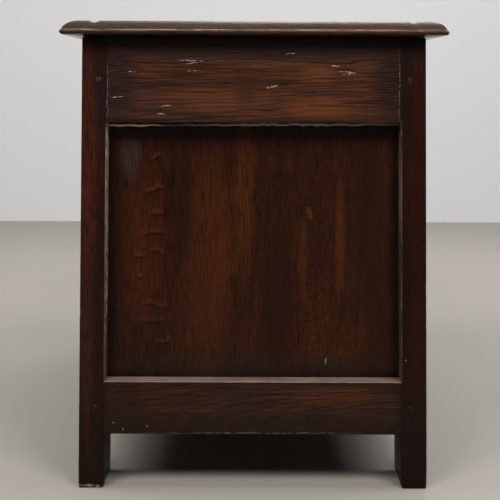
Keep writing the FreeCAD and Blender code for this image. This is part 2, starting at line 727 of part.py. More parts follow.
def drawer_sides(side):
    x = drawer_x(side)
    sides = []
    for edge, hand in ((x[0], side), (x[1], -side)):
        board = block((edge, edge + hand * DRAWER_SIDE_THICK), (DRAWER_FRONT_BACK, DRAWER_END),
                      (DRAWER_LOW, DRAWER_TOP))
        board = board.fuse(tails(side, edge, hand))
        sides.append(board.cut([drawer_bottom(side), drawer_back(side)]))
    return sides


def drawer_front(side, spaces):
    z = (BOTTOM_TOP + DRAWER_GAP, MIDDLE_LOW - DRAWER_GAP)
    board = block(drawer_x(side), (-HALF_DEPTH, DRAWER_FRONT_BACK), z)
    x = drawer_x(side)
    sockets = tails(side, x[0], side) + tails(side, x[1], -side)
    return board.cut(sockets + [drawer_bottom(side)] + spaces)


# ---------------------------------------------------------------- drawer handles
def handle_places(side):
    wide = DRAWER_OUTER_X - DRAWER_INNER_X
    shares = (("inner", HANDLE_SHARE), ("outer", 1 - HANDLE_SHARE))
    return [(name, side * (DRAWER_INNER_X + wide * share)) for name, share in shares]


def handle_post(x, hand):
    """Eye for the bail, with a shank through the drawer front."""
    x_eye = x + hand * HANDLE_HALF
    eye = rod(EYE_RADIUS, at(x_eye - EYE_WIDE / 2, HANDLE_Y, HANDLE_Z),
              at(x_eye + EYE_WIDE / 2, HANDLE_Y, HANDLE_Z))
    shank = post_shank(x, hand)
    hole = rod(BAIL_PIN_RADIUS + PIN_CLEARANCE, at(x_eye - EYE_WIDE, HANDLE_Y, HANDLE_Z),
               at(x_eye + EYE_WIDE, HANDLE_Y, HANDLE_Z))
    return eye.fuse(shank).cut(hole)


def post_shank(x, hand):
    x_eye = x + hand * HANDLE_HALF
    y_end = DRAWER_FRONT_BACK + NUT_THICK
    return rod(POST_RADIUS, at(x_eye, HANDLE_Y, HANDLE_Z), at(x_eye, y_end, HANDLE_Z))


def handle_nut(x, hand):
    x_eye = x + hand * HANDLE_HALF
    y = (DRAWER_FRONT_BACK, DRAWER_FRONT_BACK + NUT_THICK)
    washer = rod(NUT_RADIUS, at(x_eye, y[0], HANDLE_Z), at(x_eye, y[1], HANDLE_Z))
    return washer.cut(post_shank(x, hand))


def handle_plate(x):
    """Lobed back plate behind the posts."""
    y = (-HALF_DEPTH - PLATE_THICK, -HALF_DEPTH)
    half_high = PLATE_BAR_HIGH / 2
    bar = block((x - HANDLE_HALF, x + HANDLE_HALF), y, (HANDLE_Z - half_high, HANDLE_Z + half_high))
    lobes = []
    for lobe_x in (x - HANDLE_HALF, x + HANDLE_HALF):
        lobes.append(rod(PLATE_LOBE, at(lobe_x, y[0], HANDLE_Z), at(lobe_x, y[1], HANDLE_Z)))
    lobes.append(rod(PLATE_DROP_LOBE, at(x, y[0], HANDLE_Z), at(x, y[1], HANDLE_Z)))
    return bar.fuse(lobes).cut([post_shank(x, hand) for hand in (-1, 1)])


def handle_plates(side):
    pieces = []
    for _, x in handle_places(side):
        pieces.append(handle_plate(x))
        for hand in (-1, 1):
            pieces += [handle_post(x, hand), handle_nut(x, hand)]
    return pieces


def bail(x):
    """Drop handle: two pivots turned inward, arms, rounded corners and a straight grip."""
    arm = HANDLE_HALF + BAIL_ARM_OUT
    bend = BAIL_CORNER * (1 - math.sqrt(0.5))
    elbow_z = HANDLE_Z
    low_z = HANDLE_Z - BAIL_DROP
    path = []
    for hand in (-1, 1):
        top = at(x + hand * arm, HANDLE_Y, elbow_z)
        knee = at(x + hand * arm, HANDLE_Y, low_z + BAIL_CORNER)
        turn = at(x + hand * (arm - bend), HANDLE_Y, low_z + bend)
        foot = at(x + hand * (arm - BAIL_CORNER), HANDLE_Y, low_z)
        path += [Part.makeLine(top, knee), Part.Arc(knee, turn, foot).toShape(),
                 Part.makeLine(foot, at(x, HANDLE_Y, low_z))]
    wire = Part.Wire(Part.__sortEdges__(path))
    start = wire.OrderedVertexes[0].Point
    section = Part.Wire(Part.makeCircle(BAIL_RADIUS, start, at(0, 0, 1)))
    solid = wire.makePipeShell([section], True, True)
    pivots = []
    for hand in (-1, 1):
        outer = at(x + hand * arm, HANDLE_Y, HANDLE_Z)
        inner = at(x + hand * (HANDLE_HALF - EYE_WIDE / 2 - BAIL_PIN_PAST), HANDLE_Y, HANDLE_Z)
        pivots += [rod(BAIL_PIN_RADIUS, outer, inner), Part.makeSphere(BAIL_RADIUS, outer)]
    return solid.fuse(pivots)


# ---------------------------------------------------------------- assembly
def build_frame():
    pegs = end_pegs() + long_pegs() + muntin_pegs()
    grooves = all_grooves()
    nails = leaf_nails()
    stile_spaces = [stile_mortises(), grooves, Part.makeCompound(pegs)]
    rail_spaces = [rail_mortises(), grooves, Part.makeCompound(pegs + nails), keyhole()]
    for face_name, face in (("front", -1), ("back", 1)):
        for name, side in SIDES:
            save("stile_" + face_name + "_" + name, [stile(side, face, stile_spaces)])
    for name, side in SIDES:
        save("end_bottom_rail_" + name, [end_rail(side, *END_RAILS[0], rail_spaces)])
        save("end_top_rail_" + name, [end_rail(side, *END_RAILS[1], rail_spaces)])
        save("end_panel_" + name, [end_panel(side)])
        save("back_panel_" + name, [back_panel(side)])
    for name, rail in zip(("bottom", "middle", "top"), FRONT_RAILS):
        save("front_" + name + "_rail", [long_rail(-1, *rail, rail_spaces)])
    for name, rail in zip(("bottom", "top"), BACK_RAILS):
        save("back_" + name + "_rail", [long_rail(1, *rail, rail_spaces)])
    muntin_names = ("front_muntin_left", "front_muntin_right", "drawer_muntin", "back_muntin")
    for name, place in zip(muntin_names, MUNTINS):
        save(name, [muntin(*place, rail_spaces)])
    for index, name in enumerate(("left", "middle", "right")):
        save("front_panel_" + name, [front_panel(index)])
    save("frame_pegs", pegs)
    save("hinge_leaf_nails", nails)


def build_inside():
    save("box_floor_boards", floor_boards())
    save("box_floor_ledges", floor_ledges())
    save("drawer_runners", drawer_runners())
    save("drawer_guides", drawer_guides())
    save("till_front", [till_front()])
    save("till_bottom", [till_bottom()])
    save("till_bearers", till_bearers())
    save("lock_case", [lock_case()])
    save("lock_bolt", [lock_bolt()])
    save("lock_escutcheon", [escutcheon()])


def build_hinges():
    nails = Part.makeCompound(leaf_nails())
    save("hinge_back_leaves", [hinge_leaf(side).cut(nails) for _, side in SIDES])
    save("hinge_pins", [hinge_pin(side) for _, side in SIDES])
    lid_nails = Part.makeCompound(strap_nails())
    save("hinge_straps", [hinge_strap(side).cut(lid_nails) for _, side in SIDES])
    save("hinge_strap_nails", strap_nails())


def build_lid():
    blank = lid_blank()
    pegs = lid_pegs()
    straps = [hinge_strap(side) for _, side in SIDES]
    spaces = [Part.makeCompound(pegs + strap_nails()), lock_staple_plate()] + straps + hinge_pockets()
    save("lid_front_board", [lid_board(blank, -1, spaces)])
    save("lid_back_board", [lid_board(blank, 1, spaces)])
    for name, side in SIDES:
        save("lid_cleat_" + name, [lid_cleat(blank, side, spaces)])
    save("lid_pegs", pegs)
    save("lock_staple", [lock_staple()])


def build_drawers():
    for name, side in SIDES:
        node = "drawer_" + name + "_"
        shanks = [post_shank(x, hand) for _, x in handle_places(side) for hand in (-1, 1)]
        save(node + "front", [drawer_front(side, shanks)])
        save(node + "sides", drawer_sides(side))
        save(node + "back", [drawer_back(side)])
        save(node + "bottom", [drawer_bottom(side)])
        save(node + "handle_plates", handle_plates(side))
        for place, x in handle_places(side):
            save(node + "bail_" + place, [bail(x)])


os.makedirs("parts", exist_ok=True)
build_frame()
build_inside()
build_hinges()
build_lid()
build_drawers()
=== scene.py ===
"""Looks of the joined oak mule chest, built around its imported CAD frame. Metres, +Z up."""
import json
import math

import bpy
import numpy as np
from mathutils import Euler, Matrix, Vector, noise


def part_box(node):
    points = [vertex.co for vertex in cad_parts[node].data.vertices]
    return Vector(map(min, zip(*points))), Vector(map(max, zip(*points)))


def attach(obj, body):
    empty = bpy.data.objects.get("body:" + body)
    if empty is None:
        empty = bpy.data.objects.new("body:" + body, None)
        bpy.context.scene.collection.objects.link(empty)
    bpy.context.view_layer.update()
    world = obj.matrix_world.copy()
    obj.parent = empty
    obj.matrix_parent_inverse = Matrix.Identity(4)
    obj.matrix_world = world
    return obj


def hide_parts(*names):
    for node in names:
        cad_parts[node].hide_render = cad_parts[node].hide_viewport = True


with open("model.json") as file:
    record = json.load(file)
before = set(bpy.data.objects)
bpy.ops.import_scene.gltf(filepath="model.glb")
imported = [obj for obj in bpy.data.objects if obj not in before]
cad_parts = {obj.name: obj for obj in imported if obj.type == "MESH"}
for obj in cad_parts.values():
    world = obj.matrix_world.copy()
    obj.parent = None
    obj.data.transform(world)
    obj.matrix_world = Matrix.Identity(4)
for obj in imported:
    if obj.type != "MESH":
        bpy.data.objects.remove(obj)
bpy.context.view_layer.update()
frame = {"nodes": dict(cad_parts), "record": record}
nodes = frame["nodes"]

MM = 0.001
AXES = "xyz"
SIDES = (("left", -1), ("right", 1))
FACES = (("front", -1), ("back", 1))


# ---- places read from the frame
def levels(node):
    """The heights of a node's underside and top."""
    low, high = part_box(node)
    return low.z, high.z


stile_low, stile_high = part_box("stile_front_right")
END_X = stile_high.x
STILE_X = stile_low.x
HALF_DEPTH = -stile_low.y
STILE_Y = -stile_high.y
LID_LOW = stile_high.z
lid_low, lid_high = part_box("lid_cleat_right")
LID_TOP = lid_high.z
LID_END = lid_high.x
LID_SIDE = lid_high.y
CLEAT_X = lid_low.x
RAIL_BACK_Y = -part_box("front_muntin_left")[1].y
END_FRAME_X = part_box("end_top_rail_right")[0].x
PANEL_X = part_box("end_panel_right")[1].x
BOTTOM_TOP = levels("front_bottom_rail")[1]
END_TOP_LOW = levels("end_top_rail_right")[0]

# ---- finish sizes
STILE_ROUND = 2.2 * MM
RAIL_ROUND = 1.6 * MM
PANEL_ROUND = 0.8 * MM
RAIL_SET_BACK = 0.35 * MM
SHOULDER_LAP = 3.0 * MM
DRAWER_SET_IN = 0.3 * MM
GRID_STEP = 9 * MM

# grid lines beside an arris, in shares of its rounding
EDGE_STOPS = (0.0, 0.3, 0.65, 1.0, 2.4)

# where a board meets an arris flush: share of its rounding kept, how near counts, and the fades
FLUSH_ROUND = 0.15
FLUSH_NEAR = 3
FLUSH_OUTER = 2 * MM
FLUSH_INNER = 1 * MM

# wear of the boards: noise scales a metre, wear of the arris in mm, and heights above the floor
CHIP_SCALE = 55
CHIPPED_SCALE = 9
HOLLOW_SCALE = 7
KNOCK_SCALE = 38
EVEN_WEAR = 0.2
ARRIS_WEAR = 1.4
FOOT_WORN_TO = 30 * MM
FOOT_FLAT_TO = 20 * MM
UNRUBBED = 0.25
# REVEAL_FADE: how far the painted highlight on the reveals fades at the bottom and top of the end panel's
# opening
REVEAL_FADE = 4 * MM

# the lean of the ends, by this much a metre: wider at the feet than under the lid
LEAN = 0.055
LEAN_LEVEL = 0.133
LEAN_FROM = 0.36
LEAN_FULL = 0.53

# painted shade on the frame under the lid, where the lid's shadow falls: how far down it reaches and where it
# is full
LID_SHADE_REACH = 17 * MM
LID_SHADE_FULL = 10 * MM

# lid moulding, inwards from the lid's edge and up from its underside
NOSE_LOW = 2.5 * MM
NOSE_HIGH = 9.5 * MM
NOSE_IN = 2.6 * MM
NOSE_FADE = 4 * MM
CORNER_ROUND = 9 * MM
BEVEL_RUN = 26 * MM
IRON_PROUD = 0.25 * MM
THUMB_RUN = 28 * MM
THUMB_MID = (11.04 * MM, 18.0 * MM)
CROWN_RUN = 42 * MM
GROOVE_RUN = 56 * MM
GROOVE_DEEP = 3 * MM
NOSE_ROWS = (0.0, 0.22, 0.5, 0.78, 1.0)
NOSE_PUSH = (0.0, 0.75, 1.0, 0.75, 0.0)

# camera, opposite the right-hand end
FRAME_SIZE = 500
CAMERA_PLACE = (END_X + 1.8, -0.0052, 0.5844)
CAMERA_LENS = 91.48
SENSOR = 36.0
CAMERA_SHIFT = -0.175
CAMERA_PITCH = math.radians(3.593)
CAMERA_ROLL = math.radians(0.192)

# first seed of each kind of piece
STILE_SEED = 31
LONG_RAIL_SEED = 51
MUNTIN_SEED = 61
PANEL_SEED = 71
DRAWER_SEED = 81
PEG_SEED = 91
CLEAT_SEED = 101
LID_BOARD_SEED = 111
KEPT_SEED = 121
END_SEEDS = {"left": (5, 7, 12), "right": (16, 18, 23)}


def camera_turn():
    level = Euler((math.pi / 2 - CAMERA_PITCH, 0, math.pi / 2)).to_matrix()
    return level @ Matrix.Rotation(CAMERA_ROLL, 3, "Z")


def seen_at(right, down, plane):
    """The y and z of the point with x = plane that the camera shows at this place in its frame."""
    across = (right / FRAME_SIZE - 0.5) * SENSOR / CAMERA_LENS
    up = (0.5 + CAMERA_SHIFT - down / FRAME_SIZE) * SENSOR / CAMERA_LENS
    start = Vector(CAMERA_PLACE)
    ray = camera_turn() @ Vector((across, up, -1))
    point = start + ray * ((plane - start.x) / ray.x)
    return point.y, point.z


# ---- mesh helpers
SEED_STEP = np.array([13.7, 7.3, 3.1])
SEED_START = np.array([0, 5, -9])


def field(points, scale, seed, octaves=2):
    """Smooth noise from about -1 to 1 at each point; scale is per metre."""
    scaled = points * scale + (seed * SEED_STEP + SEED_START)
    return np.array([noise.fractal(Vector(p), 1.0, 2.0, octaves) for p in scaled])


def smooth(value, low, high):
    t = np.clip((value - low) / (high - low), 0, 1)
    return t * t * (3 - 2 * t)


def leaned(points):
    """Points of the frame, moved as its ends lean."""
    share = LEAN * smooth(np.abs(points[:, 0]), LEAN_FROM, LEAN_FULL)
    out = points.copy()
    out[:, 1] *= 1 + share * (LEAN_LEVEL - points[:, 2])
    return out


def grid_lines(near, far, step):
    """Lines near the low and the high side, with even ones about a step apart between."""
    count = max(1, round((far[0] - near[-1]) / step))
    return np.concatenate([near[:-1], np.linspace(near[-1], far[0], count + 1), far[1:]])


def stops(low, high, radius):
    """Grid lines from low to high, close together at the rounded edges."""
    near = [low + radius * share for share in EDGE_STOPS]
    far = [high - radius * share for share in reversed(EDGE_STOPS)]
    return grid_lines(near, far, GRID_STEP)


def lattice(xs, ys, zs):
    """Surface of a box on the grid lines: points, their grid places, and quads facing outwards."""
    shape = (len(xs), len(ys), len(zs))
    place = np.stack(np.meshgrid(*[np.arange(n) for n in shape], indexing="ij"), -1).reshape(-1, 3)
    last = np.array(shape) - 1
    outside = ((place == 0) | (place == last)).any(1)
    ids = np.full(len(place), -1)
    ids[outside] = np.arange(outside.sum())
    ids = ids.reshape(shape)
    place = place[outside]
    lines = [np.asarray(xs)[place[:, 0]], np.asarray(ys)[place[:, 1]], np.asarray(zs)[place[:, 2]]]
    quads = []
    for axis in range(3):
        for end in (0, -1):
            layer = np.take(ids, end, axis)
            a, b, c, d = layer[:-1, :-1], layer[1:, :-1], layer[1:, 1:], layer[:-1, 1:]
            order = (a, b, c, d) if (end == 0) == (axis == 1) else (d, c, b, a)
            quads.append(np.stack([q.ravel() for q in order], 1))
    return np.stack(lines, 1), place, np.concatenate(quads).tolist()


def add_object(name, data):
    piece = bpy.data.objects.new(name, data)
    bpy.context.scene.collection.objects.link(piece)
    return piece


def make_piece(name, node, points, faces, layers, body, material):
    """A smooth oak mesh that rides on a body and stands for a CAD node."""
    mesh = bpy.data.meshes.new(name)
    mesh.from_pydata(points.tolist(), [], faces)
    mesh.polygons.foreach_set("use_smooth", [True] * len(mesh.polygons))
    for key, values in layers.items():
        layer = mesh.attributes.new(key, "FLOAT", "POINT")
        layer.data.foreach_set("value", np.asarray(values, np.float32))
    mesh.update()
    mesh.materials.append(material)
    piece = add_object(name, mesh)
    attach(piece, body)
    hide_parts(node)


# ---- worn boards
def arris_kept(points, joints, radius):
    """How much of its rounding an arris keeps: little where another board meets it flush.

    joints are (along, low, high, side, place): from low to high along one axis, at a place on another.
    """
    kept = np.ones(len(points))
    for along, low, high, side, place in joints:
        run = points[:, AXES.index(along)]
        near = np.abs(points[:, AXES.index(side)] - place) < FLUSH_NEAR * radius
        begun = smooth(run, low - FLUSH_OUTER, low + FLUSH_INNER)
        inside = begun * (1 - smooth(run, high - FLUSH_INNER, high + FLUSH_OUTER))
        kept = np.where(near, kept * (1 - (1 - FLUSH_ROUND) * inside), kept)
    return kept


def chipping(points, seed):
    """How chipped an arris is, from 0 to 1, in places."""
    chips = smooth(field(points, CHIP_SCALE, seed, 3), 0.15, 0.75)
    return chips * smooth(field(points, CHIPPED_SCALE, seed + 3), -0.2, 0.5)


def foot_wear(points, arris, foot, seed):
    """How far the arrises are worn away just above the floor."""
    near_floor = 1 - smooth(points[:, 2], 0.0, FOOT_WORN_TO)
    knocks = np.clip(0.55 + 0.6 * field(points, KNOCK_SCALE, seed + 5, 2), 0.1, 1.5)
    return near_floor * arris * foot * MM * knocks


def paint_lid_shade(points, out):
    """Painted shade under the lid, on the faces that look out of the chest."""
    facing_out = (out[:, :2] * np.sign(points[:, :2])).max(1)
    lid_shade = smooth(points[:, 2], LID_LOW - LID_SHADE_REACH, LID_LOW - LID_SHADE_FULL)
    return lid_shade * smooth(facing_out, 0.2, 0.7)


def revealed(points, out, direction):
    """The side that looks in this direction, as far as the end panel's opening goes: where the pale highlight
    is painted.
    """
    opening = smooth(points[:, 2], BOTTOM_TOP - REVEAL_FADE, BOTTOM_TOP)
    opening = opening * (1 - smooth(points[:, 2], END_TOP_LOW, END_TOP_LOW + REVEAL_FADE))
    return smooth(out @ np.array(direction, float), 0.15, 0.5) * opening


def worn_board(node, low, high, seed, grain, pith, looks, marks=(), body="carcass", radius=RAIL_ROUND,
               chip=1.0, swell=0.25, foot=0.0, reveal=(), joints=(), rubbed=(), hidden=0.0, wear=1.0):
    """An oak board with rounded, chipped arrises, from corner low to corner high.

    chip, swell and foot are depths in mm: of nicks in the arris, of planed hollows and of wear by the floor.
    reveal is the direction of the side with a pale painted highlight, rubbed the one from which arrises are
    rubbed, and hidden how far the edges lie in their grooves.
    """
    low, high = np.array(low, float), np.array(high, float)
    points, _, quads = lattice(*[stops(low[i], high[i], radius) for i in range(3)])
    kept = arris_kept(points, joints, radius)
    rounding = (radius * kept)[:, None]
    core = np.clip(points, low + rounding, high - rounding)
    out = points - core
    out /= np.linalg.norm(out, axis=1)[:, None]
    border = np.sort(np.minimum(points - low, high - points), axis=1)[:, 1]
    arris = (1 - smooth(border, 0.0, radius * EDGE_STOPS[-1])) * kept
    solid = core + out * rounding
    hollow = np.maximum(field(solid, HOLLOW_SCALE, seed + 1), 0) * swell * MM
    depth = arris * (EVEN_WEAR + chipping(solid, seed) * chip) * ARRIS_WEAR * MM + hollow * (1 - arris)
    inward = out.copy()
    if foot:
        depth = depth + foot_wear(solid, arris, foot, seed)
        inward[:, 2] = np.where(solid[:, 2] < FOOT_FLAT_TO, 0, inward[:, 2])
    solid = solid - inward * depth[:, None]
    worn = arris * wear
    if rubbed:
        worn = worn * (UNRUBBED + (1 - UNRUBBED) * smooth(out @ np.array(rubbed, float), 0.1, 0.6))
    layers = {"arris": worn, "border": np.maximum(border - hidden, 0)}
    if body == "carcass":
        solid = leaned(solid)
        # painted shade on the frame just under the lid
        layers["lid_shade"] = paint_lid_shade(points, out)
    # painted highlight on the inner sides that face into the end panel's opening
    if reveal:
        layers["reveal"] = revealed(points, out, reveal)
    material = oak(node, grain, seed, pith, marks, **looks)
    make_piece(node + "_wood", node, solid, quads, layers, body, material)


# ---- node trees
class Tree:
    """Short calls for building one shader node tree."""

    def __init__(self, tree):
        self.tree = tree

    def add(self, kind, **settings):
        node = self.tree.nodes.new("ShaderNode" + kind)
        for key, value in settings.items():
            setattr(node, key, value)
        return node

    def feed(self, socket, value):
        if isinstance(value, bpy.types.NodeSocket):
            self.tree.links.new(value, socket)
        else:
            socket.default_value = value

    def fill(self, node, **values):
        """Feed a node's inputs by their names, with _ for a space."""
        for key, value in values.items():
            self.feed(node.inputs[key.replace("_", " ")], value)

    def row(self, node, *values):
        """Feed a node's inputs in their order, and return its outputs."""
        for socket, value in zip(node.inputs, values):
            self.feed(socket, value)
        return node.outputs

    def math(self, operation, a, b=0.0, clamp=False):
        return self.row(self.add("Math", operation=operation, use_clamp=clamp), a, b)[0]

    def plus(self, a, b, clamp=False):
        return self.math("ADD", a, b, clamp)

    def minus(self, a, b):
        return self.math("SUBTRACT", a, b)

    def over(self, a, b):
        return self.math("DIVIDE", a, b)

    def times(self, first, *others):
        for other in others:
            first = self.math("MULTIPLY", first, other)
        return first

    def weighted(self, value, *parts):
        """The value, with each part added times its weight."""
        for part, weight in parts:
            value = self.plus(value, self.times(part, weight))
        return value

    def centred(self, value, weight):
        """A noise value about zero, times a weight."""
        return self.times(self.minus(value, 0.5), weight)

    def vector(self, operation, a, b=(0, 0, 0)):
        outputs = self.row(self.add("VectorMath", operation=operation), a, b)
        return outputs["Value" if operation == "LENGTH" else "Vector"]

    def noise(self, vector, stretch, detail=2.0, rough=0.5, warp=0.0):
        node = self.add("TexNoise")
        place = self.vector("MULTIPLY", vector, stretch)
        self.fill(node, Vector=place, Scale=1.0, Detail=detail, Roughness=rough, Distortion=warp)
        return node.outputs["Fac"]

    def drift(self, vector, scale, size):
        """The vector moved about by noise, up to about half of size each way."""
        node = self.add("TexNoise")
        self.fill(node, Vector=vector, Scale=scale)
        moved = self.vector("SUBTRACT", node.outputs["Color"], (0.5, 0.5, 0.5))
        return self.vector("ADD", vector, self.vector("MULTIPLY", moved, (size, size, size)))

    def step(self, value, low, high, to_low=0.0, to_high=1.0):
        node = self.add("MapRange", interpolation_type="SMOOTHSTEP")
        return self.row(node, value, low, high, to_low, to_high)[0]

    def blend(self, factor, a, b):
        node = self.add("Mix", data_type="RGBA")
        self.feed(node.inputs[0], factor)
        self.feed(node.inputs[6], a)
        self.feed(node.inputs[7], b)
        return node.outputs[2]

    def split(self, vector):
        return self.row(self.add("SeparateXYZ"), vector)

    def join(self, x, y, z):
        return self.row(self.add("CombineXYZ"), x, y, z)[0]

    def attribute(self, name):
        return self.add("Attribute", attribute_name=name).outputs["Fac"]

    def place(self):
        """A point's place on the chest."""
        return self.add("TexCoord").outputs["Object"]

    def relief(self, shader, height, strength, distance):
        bump = self.add("Bump")
        self.fill(bump, Strength=strength, Distance=distance, Height=height)
        self.fill(shader, Normal=bump.outputs["Normal"])


def srgb(red, green, blue):
    """An 8-bit sRGB colour in a shader's linear values."""
    parts = [c / 255 for c in (red, green, blue)]
    return tuple(c / 12.92 if c <= 0.04045 else ((c + 0.055) / 1.055) ** 2.4 for c in parts) + (1.0,)


def new_group(name, outputs, **inputs):
    """A node group with these outputs, and with inputs given by kind, name and value."""
    tree = bpy.data.node_groups.new(name, "ShaderNodeTree")
    for kind, values in inputs.items():
        for key, value in values.items():
            socket = tree.interface.new_socket(key, in_out="INPUT", socket_type="NodeSocket" + kind)
            socket.default_value = value
    for key, kind in outputs.items():
        tree.interface.new_socket(key, in_out="OUTPUT", socket_type="NodeSocket" + kind)
    return tree


def new_material(name):
    """A material, its node tree and its shader."""
    material = bpy.data.materials.new(name)
    material.use_nodes = True
    t = Tree(material.node_tree)
    return material, t, t.tree.nodes["Principled BSDF"]


# ---- oak: colours are 8-bit sRGB
OAK_VECTORS = {"Board": (0, 0, 0), "Seed": (0, 0, 0)}
PITH = {"Pith Across": 0.0, "Pith Depth": -0.08, "Skew": 0.0}
OAK_NUMBERS = {
    **PITH, "Ring Gap": 0.0034, "Rings": 0.5, "Rays": 0.5, "Grime": 0.5, "Grime Width": 0.014, "Wear": 0.5,
    "Dust": 0.4, "Warmth": 0.5, "Haze": 0.3, "Reveal": 0.0, "Low Dark": 0.0, "Grain": 1.0,
    "Grain Length": 1.0,
}
# the reveal colour is a pale painted highlight on the stiles' inner sides
OAK_COLORS = {
    "Dark": (14, 5, 3), "Light": (64, 35, 21), "Warm": (78, 38, 15), "Haze Color": (42, 30, 28),
    "Worn": (146, 122, 108), "Dust Color": (122, 106, 96), "Reveal Color": (128, 88, 62),
}
OAK_OUTPUTS = {"Color": "Color", "Roughness": "Float", "Height": "Float", "Lightness": "Float"}
# grime with painted shade: it darkens the border of each board, where the board lies back in a recess or
# groove
GRIME_AND_SHADE = srgb(13, 6, 4)
# the next colour is painted shade under the lid, nearly black
LID_SHADE = srgb(4, 2, 2)
LOW_DARK_TO = 0.4

# noises in the oak: how fine along, across and into the board; then detail, roughness and warp
OAK_NOISES = {
    "wander": ((3.5, 12, 12), 3, 0.55),
    "wobble": ((16, 110, 110), 2),
    "vigour": ((0.61, 1, 1), 1),
    "pores": ((85, 640, 640), 2, 0.6),
    "fine": ((40, 400, 400), 3, 0.65),
    "middle": ((9, 120, 120), 3, 0.6, 0.5),
    "broad": ((2.2, 14, 14), 3, 0.55, 0.5),
    "ray lines": ((42, 16, 16), 2, 0.45, 0.5),
    "ray patches": ((14, 20, 20), 2),
    "warm": ((2.2, 10, 10), 3, 0.55, 0.8),
    "cloud": ((20, 34, 34), 3, 0.6),
    "haze": ((4, 11, 11), 3, 0.6, 0.6),
    "rubbed": ((45, 200, 200), 3, 0.6),
}


class OakTree(Tree):
    """The oak group's tree: its inputs, a point's place in the board, and the shared noises."""

    def __init__(self, tree):
        super().__init__(tree)
        self.given = tree.nodes.new("NodeGroupInput").outputs
        board, seed = self["Board"], self["Seed"]
        self.along, self.across, self.depth = self.split(board)
        shortened = self.over(self.along, self["Grain Length"])
        self.seeded = self.vector("ADD", board, seed)
        self.streaks = self.vector("ADD", seed, self.join(shortened, self.across, self.depth))
        self.fine = self.grain("fine", self.streaks)
        self.middle = self.grain("middle", self.streaks)
        self.broad = self.grain("broad")
        self.cloud = self.grain("cloud")

    def __getitem__(self, name):
        return self.given[name]

    def grain(self, name, vector=None):
        return self.noise(vector or self.seeded, *OAK_NOISES[name])


def from_pith(t):
    """A point's distance from the slanting pith, across the board and in all."""
    across = t.plus(t.across, t.centred(t.grain("wander"), 45 * MM))
    across = t.minus(across, t["Pith Across"])
    depth = t.minus(t.minus(t.depth, t["Pith Depth"]), t.times(t.along, t["Skew"]))
    return across, t.vector("LENGTH", t.join(across, depth, 0.0))


def early_wood(t, reach):
    """The porous start of each growth ring, stronger in some years than in others."""
    wobble = t.centred(t.grain("wobble"), 4 * MM)
    ring = t.over(t.plus(reach, wobble), t["Ring Gap"])
    phase = t.math("FRACT", ring)
    vigour = t.grain("vigour", t.join(t.math("FLOOR", ring), 0.0, 0.0))
    early = t.times(t.step(phase, 0.05, 0.6, 1.0, 0.0), t.step(phase, 0.0, 0.05))
    return t.times(early, t.step(vigour, 0.3, 0.65, 0.3, 1.0))


def medullary_rays(t, across, reach):
    """Thin wavy lines across the grain, where the face runs straight out from the pith."""
    radial = t.over(t.math("ABSOLUTE", across), reach)
    quarter = t.times(t.step(radial, 0.86, 0.97), t["Rays"])
    nearness = t.math("ABSOLUTE", t.minus(t.grain("ray lines"), 0.5))
    patches = t.step(t.grain("ray patches"), 0.47, 0.6)
    return t.times(t.step(nearness, 0.006, 0.03, 1.0, 0.0), patches, quarter)


def wood_color(t, lines):
    """How light the wood is, and its colour, warm or hazy in places."""
    tone = t.plus(0.6, t.centred(t.broad, 1.0))
    tone = t.plus(tone, t.times(t.centred(t.middle, 0.9), t["Grain"]))
    tone = t.plus(tone, t.times(t.centred(t.fine, 3.0), t["Grain"]), clamp=True)
    color = t.blend(tone, t["Dark"], t["Light"])
    warm = t.times(t.step(t.grain("warm"), 0.42, 0.62), t["Warmth"])
    color = t.blend(warm, color, t.blend(tone, t["Dark"], t["Warm"]))
    color = t.blend(lines, color, t["Dark"])
    haze = t.times(t.step(t.grain("haze"), 0.45, 0.68), t["Haze"])
    return tone, t.blend(haze, color, t["Haze Color"])


def aged_color(t, color, facing, height):
    """Reveals with a pale painted highlight, grime and painted shade by the border, dust on top, worn arrises,
    darker by the floor, and painted shade under the lid.
    """
    # pale painted highlight on the reveals
    reveal = t.times(t.attribute("reveal"), t["Reveal"], t.step(t.cloud, 0.28, 0.52, 0.55, 1.0))
    color = t.blend(reveal, color, t["Reveal Color"])
    # grime and the painted shade of the recesses, darkest at the border of each board
    uneven = t.plus(t.attribute("border"), t.times(t.centred(t.cloud, 1.6), t["Grime Width"]))
    grime_and_shade = t.step(t.over(uneven, t["Grime Width"]), 0.0, 1.0, 1.0, 0.0)
    grime_and_shade = t.times(grime_and_shade, t["Grime"], t.minus(1.0, reveal))
    color = t.blend(grime_and_shade, color, GRIME_AND_SHADE)
    dust = t.times(t.step(facing, 0.6, 0.95), t["Dust"], t.step(t.cloud, 0.3, 0.65, 0.65, 1.0))
    color = t.blend(dust, color, t["Dust Color"])
    rubbed = t.plus(t.attribute("arris"), t.times(t.grain("rubbed"), 0.9))
    rubbed = t.times(t.step(rubbed, 1.0, 1.5), t["Wear"])
    color = t.blend(rubbed, color, t["Worn"])
    color = t.blend(t.step(height, 0.0, LOW_DARK_TO, t["Low Dark"], 0.0), color, t["Dark"])
    # last, the painted shade under the lid goes over everything
    return t.blend(t.attribute("lid_shade"), color, LID_SHADE), grime_and_shade, dust


